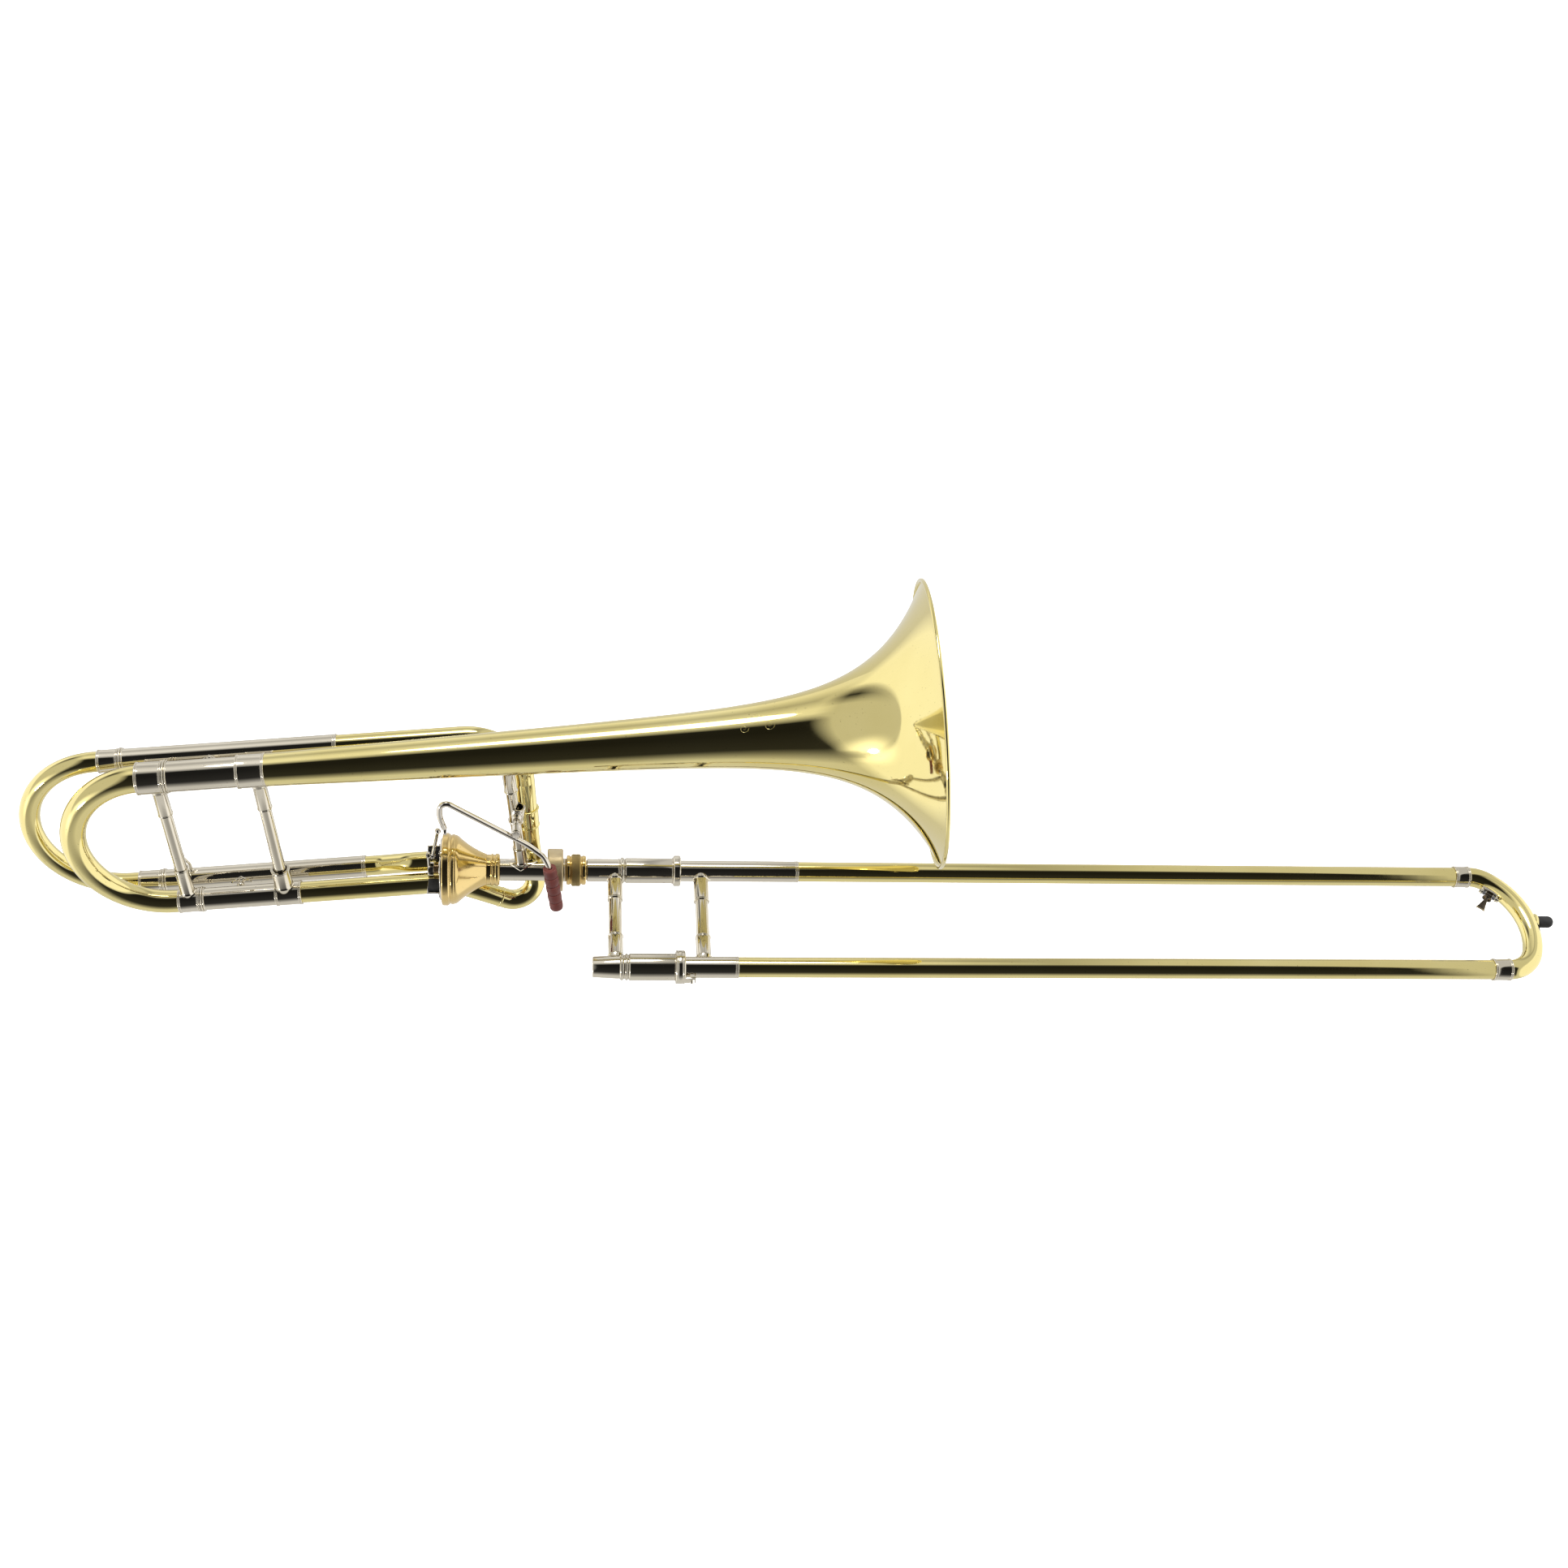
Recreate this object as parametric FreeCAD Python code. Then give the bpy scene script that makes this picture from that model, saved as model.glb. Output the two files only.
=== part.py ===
import FreeCAD, Part
import math
import os

# Tenor trombone with an axial-flow (conical rotor) F attachment.  Millimetres.
#
# Part frame: the origin is the centre of the mouthpiece receiver's mouth, +X runs along the hand
# slide to its bow, +Y is from the mouthpiece tube to the bell-side tube, and +Z is up.
# Valve frame: the same X along the bell-side slide axis, leaned about it, so its Y points away
# from the bell plane's near side and its Z lies in the bell plane.
# Bell frame: the valve frame moved to the valve's rear plate and pitched, so that its X is the
# direction of the bell and of both tuning slides, and its Z crosses from the lower to the upper legs.

V3 = FreeCAD.Vector
AXIS_X = V3(1, 0, 0)
AXIS_Y = V3(0, 1, 0)
AXIS_Z = V3(0, 0, 1)

# ---- driving dimensions -------------------------------------------------------------------------
SLIDE_SPACING = 88.0
LEAN_DEG = 12.4
PITCH_DEG = 6.2
VALVE_REAR_X = -118.0

# hand slide
BORE_R = 6.95
INNER_TUBE_R = 7.25
STOCKING_R = 7.35
STOCKING_LENGTH = 110.0
OUTER_BORE_R = 7.42
OUTER_TUBE_R = 7.75
SLEEVE_R = 8.15
OUTER_TUBE_START = 33.0
INNER_END_LOWER = 692.0
INNER_END_UPPER = 680.0
LOWER_FERRULE = (702.8, 717.4)
UPPER_FERRULE = (692.4, 704.9)
LOWER_SLEEVE_END = 109.8
UPPER_SLEEVE_END = 160.1
SHANK_BORE_R = 6.35
SHANK_BORE_LENGTH = 30.0
BARREL_BORE_R = 8.75
LOCK_RING = (62.2, 69.4)
LOCK_CATCH_END = 77.3
LOCK_PIN_X = 74.6
LOCK_SWING_DEG = 38.0
INNER_BRACE_X = 17.4
OUTER_BRACE_X = 83.8
SLIDE_BRACE_R = 5.0
SLIDE_SOCKET_R = 5.7

# bow, bumper and water key
BOW_START = V3(705.0, SLIDE_SPACING, 0)
BOW_RADIUS_1 = 23.9
BOW_HEADING_1 = 34.35
BOW_RADIUS_2 = 57.7
BOW_HEADING_2 = 110.5
BUMPER_CENTRE = V3(742.6, 45.0, 0)
BUMPER_SEAT = 8.5
KEY_CENTRE = V3(724.6, 78.2, 0)
KEY_TURN_DEG = -39.0
KEY_HINGE_OUT = 10.4
KEY_NIPPLE_DEG = 60.0
KEY_PIN_R = 0.8
KEY_HOLE_R = 0.87
KEY_ARM_R = 1.2
KEY_TOUCH_LENGTH = 16.0

# bell and its legs, in the bell frame
BELL_AXIS_Z = 110.4
BELL_RIM_X = 379.5
BELL_RIM_R = 107.95
BELL_WALL = 0.7
BELL_THROAT_R = 11.77
BELL_TAIL_S = 507.0
BELL_TAPER = 0.024
BELL_FLARE_LENGTH = 40.26
BELL_FLARE_POWER = 0.957
BELL_TAIL_X = -124.0
RIM_INSET = 0.8
RIM_BEAD_R = 1.6
MAIN_LEG_Z = -14.0
MAIN_LEG_R = 8.25
MAIN_CROOK_X = -202.4
MAIN_CROOK_R_TOP = 10.2
MAIN_CROOK_R_LOW = 8.65
MAIN_UPPER_FERRULE = (-205.0, -185.2)
MAIN_LOWER_FERRULE = (-200.0, -183.2)
MAIN_FIXED_UPPER = (-132.0, -111.0)
SOLDER_GAP = 0.02
MAIN_FIXED_LOWER = (-126.0, -106.0)
TUNING_BRACE_X = -191.8
BELL_BRACE_X = -118.6
LEVER_BRACE_X = 64.0

# F tubing, in the bell frame
F_Y = 27.0
F_UPPER_Z = 107.2
F_LOWER_Z = -16.0
F_TUBE_R = 7.75
F_SLEEVE_R = 8.35
F_CROOK_X = -240.6
F_UPPER_FERRULE = (-238.0, -222.2)
F_LOWER_FERRULE = (-234.0, -216.2)
F_UPPER_SLEEVE_END = -61.6
F_LOWER_SLEEVE_END = -58.8
F_WALL = 0.6
GOOSENECK_TOP = V3(73.0, F_Y, F_UPPER_Z)
GOOSENECK_BEND_R = 42.0
DOWN_TOP = V3(72.4, F_Y, 60.0)
DOWN_LOW = V3(70.6, 19.7, 2.1)
DOWN_JOINT = 0.56

# valve, in the valve frame
CASE_REAR_X = -114.5
CASE_FRONT_X = -83.5
CASE_END_X = -81.0
PLATE_REAR_X = -116.0
FLANGE_R = 28.0
NECK_R = 12.0
CAVITY_REAR_R = 24.6
CAVITY_FRONT_R = 9.9
ROTOR_CLEARANCE = 0.3
SPINDLE_R = 3.0
RECEIVER_R = 8.4
RECEIVER_BORE_R = 7.75
TENON_R = 7.68
COLLAR_R = 16.5
F_PORT = (15.3, -5.0)
ROTOR_TURN_DEG = 67.0
ARM_BALL = (-5.0, 18.8)
ARM_X0 = -125.6
ARM_X1 = -123.4
LINK_EYE_HALF = 1.4
# the slanting stub for the return crook: a point on its axis, the crook's corner and the joint ring
STUB_START = V3(-100.0, 2.3, -18.8)
RETURN_CORNER = V3(-40.5, 5.8, -46.8)
STUB_RING_T = 0.504

# thumb lever, in the valve frame
LEVER_PIVOT = V3(-58.0, -12.0, 57.5)
LEVER_Y = -20.0
LEVER_ROD_R = 2.2
LEVER_EYE = V3(-110.6, LEVER_Y, 57.0)
LINK_TOP = V3(-116.0, LEVER_Y, 57.0)
LINK_FOOT_X = -121.4
GRIP_TOP = V3(-33.0, -25.0, 25.3)
GRIP_END = V3(-27.0, -25.0, -16.0)
GRIP_SEAT = 0.86


# ---- frames -------------------------------------------------------------------------------------
PART_FRAME = FreeCAD.Placement()
VALVE_FRAME = FreeCAD.Placement(V3(0, SLIDE_SPACING, 0), FreeCAD.Rotation(AXIS_X, -LEAN_DEG))
BELL_FRAME = VALVE_FRAME.multiply(
    FreeCAD.Placement(V3(VALVE_REAR_X, 0, 0), FreeCAD.Rotation(AXIS_Y, -PITCH_DEG)))
UPPER_SLIDE = FreeCAD.Placement(V3(0, SLIDE_SPACING, 0), FreeCAD.Rotation())
# slide braces are drawn along Z and stand along Y
ACROSS_SLIDE = FreeCAD.Rotation(AXIS_X, -90)


def moved(shape, x=0.0, y=0.0, z=0.0):
    copy = shape.copy()
    copy.translate(V3(x, y, z))
    return copy


def placed(shape, placement):
    copy = shape.copy()
    copy.Placement = placement.multiply(copy.Placement)
    return copy


def turned(shape, axis, degrees, centre=V3(0, 0, 0)):
    copy = shape.copy()
    copy.rotate(centre, axis, degrees)
    return copy


def save(node, shapes, frame=PART_FRAME):
    """Write one node as a STEP file in the part frame."""
    solids = []
    for shape in shapes:
        solids.extend(placed(shape, frame).Solids)
    whole = solids[0] if len(solids) == 1 else Part.makeCompound(solids)
    whole.exportStep("parts/%s.step" % node)
    volume = sum(solid.Volume for solid in solids)
    print("%-26s solids %d  volume %9.1f  valid %s" % (node, len(solids), volume, whole.isValid()))


# ---- building blocks ----------------------------------------------------------------------------
def turning(outline):
    """Revolve a closed outline of (x, radius) points about X."""
    points = [V3(x, 0, r) for x, r in outline]
    face = Part.Face(Part.makePolygon(points + points[:1]))
    return face.revolve(V3(0, 0, 0), AXIS_X, 360)


def sleeve(x0, x1, outer, inner, edge=0.0):
    """A round sleeve along X whose outside corners are broken by `edge`."""
    if edge == 0:
        return turning([(x0, inner), (x0, outer), (x1, outer), (x1, inner)])
    return turning([(x0, inner), (x0, outer - edge), (x0 + edge, outer), (x1 - edge, outer),
                    (x1, outer - edge), (x1, inner)])


def beaded_sleeve(x0, x1, outer, inner, step=None, bead=0.45, width=1.3):
    """A ferrule: a plain band with a raised bead at each end; step is (x, bore beyond x)."""
    chamfer = 0.35 * bead
    outline = [(x0, inner), (x0, outer + bead - chamfer), (x0 + chamfer, outer + bead),
               (x0 + width - chamfer, outer + bead), (x0 + width, outer),
               (x1 - width, outer), (x1 - width + chamfer, outer + bead),
               (x1 - chamfer, outer + bead), (x1, outer + bead - chamfer)]
    if step is None:
        return turning(outline + [(x1, inner)])
    return turning(outline + [(x1, step[1]), (step[0], step[1]), (step[0], inner)])


def largest(shape):
    """The main solid of a shape whose trimming left slivers."""
    return max(shape.Solids, key=lambda solid: solid.Volume)


def rod(start, end, radius):
    along = end - start
    return Part.makeCylinder(radius, along.Length, start, along)


def route(points, radii):
    """A wire of straight runs through the points, joined by tangent arcs."""
    edges = []
    start = points[0]
    for index, radius in enumerate(radii):
        before, corner, after = points[index], points[index + 1], points[index + 2]
        back = (before - corner).normalize()
        on = (after - corner).normalize()
        half = back.getAngle(on) / 2
        reach = radius / math.tan(half)
        first = corner + back * reach
        last = corner + on * reach
        middle = (back + on).normalize()
        bulge = corner + middle * (radius / math.sin(half) - radius)
        if (first - start).Length > 1e-6:
            edges.append(Part.LineSegment(start, first).toShape())
        edges.append(Part.Arc(first, bulge, last).toShape())
        start = last
    if (points[-1] - start).Length > 1e-6:
        edges.append(Part.LineSegment(start, points[-1]).toShape())
    return Part.Wire(edges)


def swept(wire, radius, end_radius=None):
    """Sweep a circle along a wire; with an end radius the tube tapers evenly."""
    first = wire.OrderedEdges[0]
    start = first.valueAt(first.FirstParameter)
    heading = first.tangentAt(first.FirstParameter)
    profiles = [Part.Wire(Part.makeCircle(radius, start, heading))]
    if end_radius is not None:
        last = wire.OrderedEdges[-1]
        finish = last.valueAt(last.LastParameter)
        profiles.append(Part.Wire(Part.makeCircle(end_radius, finish, last.tangentAt(last.LastParameter))))
    return wire.makePipeShell(profiles, True, True)


def hose(wire, outer, wall, end_outer=None):
    inner_end = None if end_outer is None else end_outer - wall
    return swept(wire, outer, end_outer).cut(swept(wire, outer - wall, inner_end))


def semicircle_path(x_upper, x_lower, x_centre, z_upper, z_lower, y):
    """A crook: back along the upper leg, round a half circle and out along the lower leg."""
    middle = (z_upper + z_lower) / 2
    radius = (z_upper - z_lower) / 2
    arc = Part.Arc(V3(x_centre, y, z_upper), V3(x_centre - radius, y, middle), V3(x_centre, y, z_lower))
    return Part.Wire([
        Part.LineSegment(V3(x_upper, y, z_upper), V3(x_centre, y, z_upper)).toShape(),
        arc.toShape(),
        Part.LineSegment(V3(x_centre, y, z_lower), V3(x_lower, y, z_lower)).toShape()])


def diamond_foot(tube_r, length, width, thickness=0.7):
    """A diamond-shaped flange that wraps round a tube along X, on its +Z side."""
    shell = sleeve(-length, length, tube_r + thickness, tube_r)
    corners = [V3(-length, 0, 0), V3(0, -width, 0), V3(length, 0, 0), V3(0, width, 0), V3(-length, 0, 0)]
    prism = Part.Face(Part.makePolygon(corners)).extrude(V3(0, 0, tube_r + 5))
    return shell.common(prism)


def brace(height, low_r, high_r, socket_r, rod_r, low_len, high_len, feet=(8.0, 6.0), cup_r=None):
    """A cross brace along Z between two tubes along X; the lower tube's axis is at the origin.

    Each end is a socket on a diamond foot with a ring at its inner end, and the rod joins them.
    """
    ring = 0.35
    ring_width = 1.1

    def socket(tube_r, length, flip, radius):
        top = tube_r + length
        body = Part.makeCylinder(radius, top - tube_r * 0.4, V3(0, 0, tube_r * 0.4), AXIS_Z)
        lip = Part.makeCylinder(radius + ring, ring_width, V3(0, 0, top - ring_width), AXIS_Z)
        shape = body.fuse(lip).cut(sleeve(-20, 20, tube_r, 0.01))
        shape = shape.cut(Part.makeCylinder(tube_r, 40, V3(-20, 0, 0), AXIS_X))
        shape = shape.fuse(diamond_foot(tube_r, feet[0], feet[1]))
        shape = shape.cut(Part.makeCylinder(rod_r, 6.0, V3(0, 0, top - 6.0), AXIS_Z))
        if flip:
            shape = moved(turned(shape, AXIS_X, 180), z=height)
        return shape.removeSplitter()

    low = socket(low_r, low_len, False, cup_r or socket_r)
    high = socket(high_r, high_len, True, socket_r)
    bar = Part.makeCylinder(rod_r, height - low_r - low_len - high_r - high_len + 12.0,
                            V3(0, 0, low_r + low_len - 6.0), AXIS_Z)
    return bar, low, high


# ---- hand slide: fixed half ---------------------------------------------------------------------
def mouthpiece_receiver():
    return turning([(0, SHANK_BORE_R), (0, 7.6), (0.6, 7.9), (20.0, 8.9), (21.0, 9.6), (22.4, 10.2),
                    (23.6, 9.5), (24.6, 9.5), (25.6, 10.2), (27.0, 9.4), (27.0, 7.25), (36.0, 7.25),
                    (36.0, BORE_R), (SHANK_BORE_LENGTH, BORE_R), (SHANK_BORE_LENGTH, SHANK_BORE_R)])


def cork_barrel(x0, x1, outer, seat_r):
    """The hollow barrel that takes the outer slide's end; its closed end sits on the inner tube."""
    return turning([(x0, seat_r), (x0, outer - 0.5), (x0 + 0.8, outer), (x1 - 7.3, outer),
                    (x1 - 7.3, outer - 0.25), (x1, outer - 0.25), (x1, BARREL_BORE_R),
                    (x0 + 3.0, BARREL_BORE_R), (x0 + 3.0, seat_r)])


def upper_barrel():
    return turning([(25.2, 7.25), (25.2, 9.3), (26.0, 9.8), (61.8, 9.8), (62.4, 11.2), (63.2, 12.0),
                    (67.4, 12.0), (68.2, 11.2), (68.2, BARREL_BORE_R), (28.2, BARREL_BORE_R), (28.2, 7.25)])


def inner_tube(x0, x1):
    stocking = x1 - STOCKING_LENGTH
    return turning([(x0, BORE_R), (x0, INNER_TUBE_R), (stocking - 2, INNER_TUBE_R), (stocking, STOCKING_R),
                    (x1 - 0.5, STOCKING_R), (x1, INNER_TUBE_R), (x1, BORE_R)])


def slide_neck():
    """The bell-side neck: the tenon that seats in the receiver, the neck tube and its bead."""
    return turning([(-50.0, BORE_R), (-50.0, TENON_R - 0.3), (-49.0, TENON_R), (-4.0, TENON_R),
                    (-4.0, 8.9), (21.6, 8.9), (22.2, 9.8), (23.4, 10.3), (24.6, 9.8), (25.2, 9.0),
                    (25.2, 7.25), (20.0, 7.25), (20.0, BORE_R)])


def slide_lock():
    """The turning lock ring with a catch that swings under the pin on the outer slide."""
    ring = sleeve(LOCK_RING[0], LOCK_RING[1], 12.9, 10.15, 0.6)
    block = Part.makeBox(LOCK_CATCH_END - LOCK_RING[1] + 1.2, 2.1, 6.0,
                         V3(LOCK_RING[1] - 1.2, -12.4, -3.0))
    notch = Part.makeBox(3.2, 4.0, 4.6, V3(LOCK_PIN_X - 1.6, -13.0, -3.2))
    return ring.fuse(block.cut(notch)).removeSplitter()


def build_inner_slide():
    save("mouthpiece_receiver", [mouthpiece_receiver()])
    save("lower_cork_barrel", [cork_barrel(27.0, 69.2, 10.3, INNER_TUBE_R)])
    save("upper_cork_barrel", [upper_barrel()], UPPER_SLIDE)
    save("inner_tube_lower", [inner_tube(36.1, INNER_END_LOWER)])
    save("inner_tube_upper", [inner_tube(20.0, INNER_END_UPPER)], UPPER_SLIDE)
    save("slide_neck", [slide_neck()], UPPER_SLIDE)
    stand = FreeCAD.Placement(V3(INNER_BRACE_X, 0, 0), ACROSS_SLIDE)
    bar, low, high = brace(SLIDE_SPACING, 8.9, 8.9, SLIDE_SOCKET_R, SLIDE_BRACE_R, 19.0, 19.0,
                           feet=(6.9, 5.4))
    low = low.cut(placed(mouthpiece_receiver(), stand.inverse()))
    high = high.cut(placed(slide_neck(), stand.inverse().multiply(UPPER_SLIDE)))
    save("inner_brace", [bar, largest(low), largest(high)], stand)
    save("slide_lock_ring", [slide_lock()])


# ---- hand slide: moving half --------------------------------------------------------------------
def bow_point(x, y, heading, radius, swing):
    """The end of an arc that turns clockwise by `swing` degrees from a heading below +X."""
    a0 = math.radians(heading)
    a1 = math.radians(heading + swing)
    return V3(x + radius * (math.sin(a1) - math.sin(a0)), y - radius * (math.cos(a0) - math.cos(a1)), 0)


def bow_path():
    edges = [Part.LineSegment(V3(UPPER_FERRULE[0] + 6, SLIDE_SPACING, 0), BOW_START).toShape()]
    point = BOW_START
    heading = 0.0
    for radius, until in [(BOW_RADIUS_1, BOW_HEADING_1), (BOW_RADIUS_2, BOW_HEADING_2), (None, 180.0)]:
        if radius is None:
            # the last arc brings the bow exactly onto the mouthpiece-side tube
            radius = point.y / (1 + math.cos(math.radians(heading)))
        swing = until - heading
        middle = bow_point(point.x, point.y, heading, radius, swing / 2)
        end = bow_point(point.x, point.y, heading, radius, swing)
        edges.append(Part.Arc(point, middle, end).toShape())
        point = end
        heading = until
    edges.append(Part.LineSegment(point, V3(LOWER_FERRULE[0] + 7, 0, 0)).toShape())
    return Part.Wire(edges)


def bumper():
    """The rubber tip, with its outline drawn out from the foot it sits on."""
    outline = [(0, 0.01), (0, 4.3), (0.7, 4.7), (9.6, 4.7), (11.8, 4.0), (13.2, 2.4), (13.7, 0.01)]
    stem = turning([(BUMPER_SEAT + x, radius) for x, radius in outline])
    return moved(stem, BUMPER_CENTRE.x, BUMPER_CENTRE.y)


def bumper_foot(tube):
    """A low round foot, hollowed to the bow it is soldered to."""
    disc = turning([(4.5, 0.01), (4.5, 6.6), (BUMPER_SEAT - 0.8, 6.6), (BUMPER_SEAT, 5.4),
                    (BUMPER_SEAT, 0.01)])
    return moved(disc, BUMPER_CENTRE.x, BUMPER_CENTRE.y).cut(tube)


def key_frame():
    """X along the bow's tangent at the water key, Y toward the inside of the bow."""
    turn = FreeCAD.Rotation(AXIS_Z, KEY_TURN_DEG)
    flip = FreeCAD.Rotation(AXIS_X, 180)
    return FreeCAD.Placement(KEY_CENTRE, turn.multiply(flip))


def water_key_saddle(tube):
    """The plate on the bow with the hinge posts, the hinge pin and the drain nipple."""
    posts = []
    for side in (-1, 1):
        post = Part.makeBox(1.6, 6.0, 4.4, V3(side * 6.2 - 0.8, 6.2, -2.2))
        cheek = Part.makeCylinder(2.2, 1.6, V3(side * 6.2 - 0.8, KEY_HINGE_OUT, 0), AXIS_X)
        posts.append(post.fuse(cheek))
    plate = Part.makeBox(15.0, 2.2, 6.0, V3(-7.5, 5.8, -3.0))
    body = plate.fuse(posts)
    for end in (-1, 1):
        head = Part.makeSphere(1.7, V3(end * 8.1, KEY_HINGE_OUT, 0))
        body = body.fuse(head)
    pin = Part.makeCylinder(KEY_PIN_R, 16.0, V3(-8.0, KEY_HINGE_OUT, 0), AXIS_X)
    nipple = Part.makeCylinder(2.6, 4.0, V3(0, 0, 5.8), AXIS_Z)
    nipple = nipple.cut(Part.makeCylinder(1.4, 5.0, V3(0, 0, 5.5), AXIS_Z))
    nipple = turned(nipple, AXIS_X, -(90 - KEY_NIPPLE_DEG))
    body = body.fuse([pin, nipple])
    # the saddle plate is curved to the tube, which bends in the slide's plane
    clear = placed(tube, key_frame().inverse())
    return body.cut(clear).removeSplitter()


def water_key_lever():
    """The lever between the posts: a flared touch one way and the cork's cup on an elbow the other."""
    barrel = Part.makeCylinder(1.9, 5.6, V3(-2.8, KEY_HINGE_OUT, 0), AXIS_X)
    tip = KEY_HINGE_OUT + KEY_TOUCH_LENGTH
    outline = [V3(-1.0, KEY_HINGE_OUT, 0), V3(-1.2, KEY_HINGE_OUT + 5.0, 0), V3(-3.6, tip, 0),
               V3(3.6, tip, 0), V3(1.2, KEY_HINGE_OUT + 5.0, 0), V3(1.0, KEY_HINGE_OUT, 0)]
    touch = Part.Face(Part.makePolygon(outline + outline[:1])).extrude(V3(0, 0, 1.2))
    cup = Part.makeCylinder(3.9, 1.2, V3(0, 0, 11.5), AXIS_Z)
    cup = turned(cup, AXIS_X, -(90 - KEY_NIPPLE_DEG))
    angle = math.radians(KEY_NIPPLE_DEG)
    cup_centre = V3(0, 12.9 * math.cos(angle), 12.9 * math.sin(angle))
    elbow = V3(0, KEY_HINGE_OUT + 2.9, 8.0)
    to_cup = rod(cup_centre, elbow, KEY_ARM_R)
    to_hinge = rod(elbow, V3(0, KEY_HINGE_OUT, 0), KEY_ARM_R)
    arm = to_cup.fuse([Part.makeSphere(KEY_ARM_R, elbow), to_hinge])
    body = barrel.fuse([touch, cup, arm]).cut(water_key_cork())
    return body.cut(Part.makeCylinder(KEY_HOLE_R, 30, V3(-15, KEY_HINGE_OUT, 0), AXIS_X)).removeSplitter()


def water_key_cork():
    cork = Part.makeCylinder(3.3, 1.5, V3(0, 0, 10.0), AXIS_Z)
    return turned(cork, AXIS_X, -(90 - KEY_NIPPLE_DEG))


def water_key_spring():
    coils = []
    for side in (-1, 1):
        coil = Part.makeCylinder(1.75, 2.2, V3(side * 4.1 - 1.1, KEY_HINGE_OUT, 0), AXIS_X)
        coils.append(coil.cut(Part.makeCylinder(KEY_HOLE_R, 4, V3(side * 4.1 - 2, KEY_HINGE_OUT, 0), AXIS_X)))
    return coils


def lock_pin():
    """The pin on the outer slide that the lock's catch swings over."""
    foot = OUTER_TUBE_R + 0.1
    pin = Part.makeCylinder(1.2, 12.6 - foot, V3(LOCK_PIN_X, -foot, 0), V3(0, -1, 0))
    return turned(pin, AXIS_X, LOCK_SWING_DEG)


def build_outer_slide():
    tube_lower = sleeve(OUTER_TUBE_START, LOWER_FERRULE[0] + 7, OUTER_TUBE_R, OUTER_BORE_R)
    tube_upper = sleeve(OUTER_TUBE_START, UPPER_FERRULE[0] + 6, OUTER_TUBE_R, OUTER_BORE_R)
    save("outer_tube_lower", [tube_lower])
    save("outer_tube_upper", [tube_upper], UPPER_SLIDE)
    lower_sleeve = sleeve(56.0, LOWER_SLEEVE_END, SLEEVE_R, OUTER_TUBE_R, 0.2)
    save("outer_sleeve_lower", [lower_sleeve.fuse(lock_pin())])
    save("outer_sleeve_upper", [sleeve(56.0, UPPER_SLEEVE_END, SLEEVE_R, OUTER_TUBE_R, 0.2)], UPPER_SLIDE)
    stand = FreeCAD.Placement(V3(OUTER_BRACE_X, 0, 0), ACROSS_SLIDE)
    pieces = brace(SLIDE_SPACING, SLEEVE_R, SLEEVE_R, SLIDE_SOCKET_R, SLIDE_BRACE_R, 19.0, 21.0)
    save("outer_brace", pieces, stand)
    path = bow_path()
    solid_bow = swept(path, OUTER_TUBE_R)
    save("bow", [hose(path, OUTER_TUBE_R, 0.6)])
    upper = beaded_sleeve(UPPER_FERRULE[0], UPPER_FERRULE[1], 8.35, OUTER_TUBE_R)
    lower = beaded_sleeve(LOWER_FERRULE[0], LOWER_FERRULE[1], 8.35, OUTER_TUBE_R)
    save("bow_ferrules", [moved(upper, y=SLIDE_SPACING), lower])
    save("bow_bumper", [bumper()])
    save("bow_bumper_foot", [bumper_foot(solid_bow)])
    save("water_key_saddle", [water_key_saddle(solid_bow)], key_frame())
    save("water_key_spring", water_key_spring(), key_frame())
    save("water_key_lever", [water_key_lever()], key_frame())
    save("water_key_cork", [water_key_cork()], key_frame())


# ---- bell ---------------------------------------------------------------------------------------
def bell_radius(x):
    """Outside radius of the bell: a gentle cone that flares as a stretched exponential."""
    s = BELL_RIM_X - x
    flare = BELL_RIM_R - BELL_THROAT_R - BELL_TAPER * BELL_TAIL_S
    cone = BELL_THROAT_R + BELL_TAPER * (BELL_TAIL_S - s)
    return cone + flare * math.exp(-((s / BELL_FLARE_LENGTH) ** BELL_FLARE_POWER))


def bell_stations():
    """Distances back from the rim, closer together where the flare turns."""
    count = 22
    span = BELL_RIM_X - BELL_TAIL_X - RIM_INSET
    return [BELL_RIM_X - RIM_INSET - span * (index / count) ** 2.2 for index in range(count + 1)]


def bell():
    """The whole bell: a thin flared wall with its edge rolled back over a wire."""
    outer = [(x, bell_radius(x)) for x in bell_stations()]
    inner = []
    for x, radius in outer:
        step = 0.5
        slope = (bell_radius(min(x + step, BELL_RIM_X)) - bell_radius(x - step)) / (2 * step)
        length = math.hypot(1, slope)
        inner.append((x + BELL_WALL * slope / length, radius - BELL_WALL / length))
    inner[-1] = (BELL_TAIL_X, outer[-1][1] - BELL_WALL)
    curves = []
    for points in (outer, inner):
        spline = Part.BSplineCurve()
        spline.interpolate([V3(x, 0, r) for x, r in points])
        curves.append(spline.toShape())
    close_rim = Part.LineSegment(V3(outer[0][0], 0, outer[0][1]), V3(inner[0][0], 0, inner[0][1]))
    close_tail = Part.LineSegment(V3(outer[-1][0], 0, outer[-1][1]), V3(inner[-1][0], 0, inner[-1][1]))
    wire = Part.Wire([curves[0], close_tail.toShape(), curves[1], close_rim.toShape()])
    wall = Part.Face(wire).revolve(V3(0, 0, 0), AXIS_X, 360)
    bead = Part.makeTorus(BELL_RIM_R - RIM_BEAD_R, RIM_BEAD_R, V3(BELL_RIM_X - RIM_BEAD_R, 0, 0), AXIS_X)
    return moved(wall.fuse(bead).removeSplitter(), z=BELL_AXIS_Z)


# ---- valve --------------------------------------------------------------------------------------
def along(start, end, fraction):
    return start + (end - start) * fraction


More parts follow.
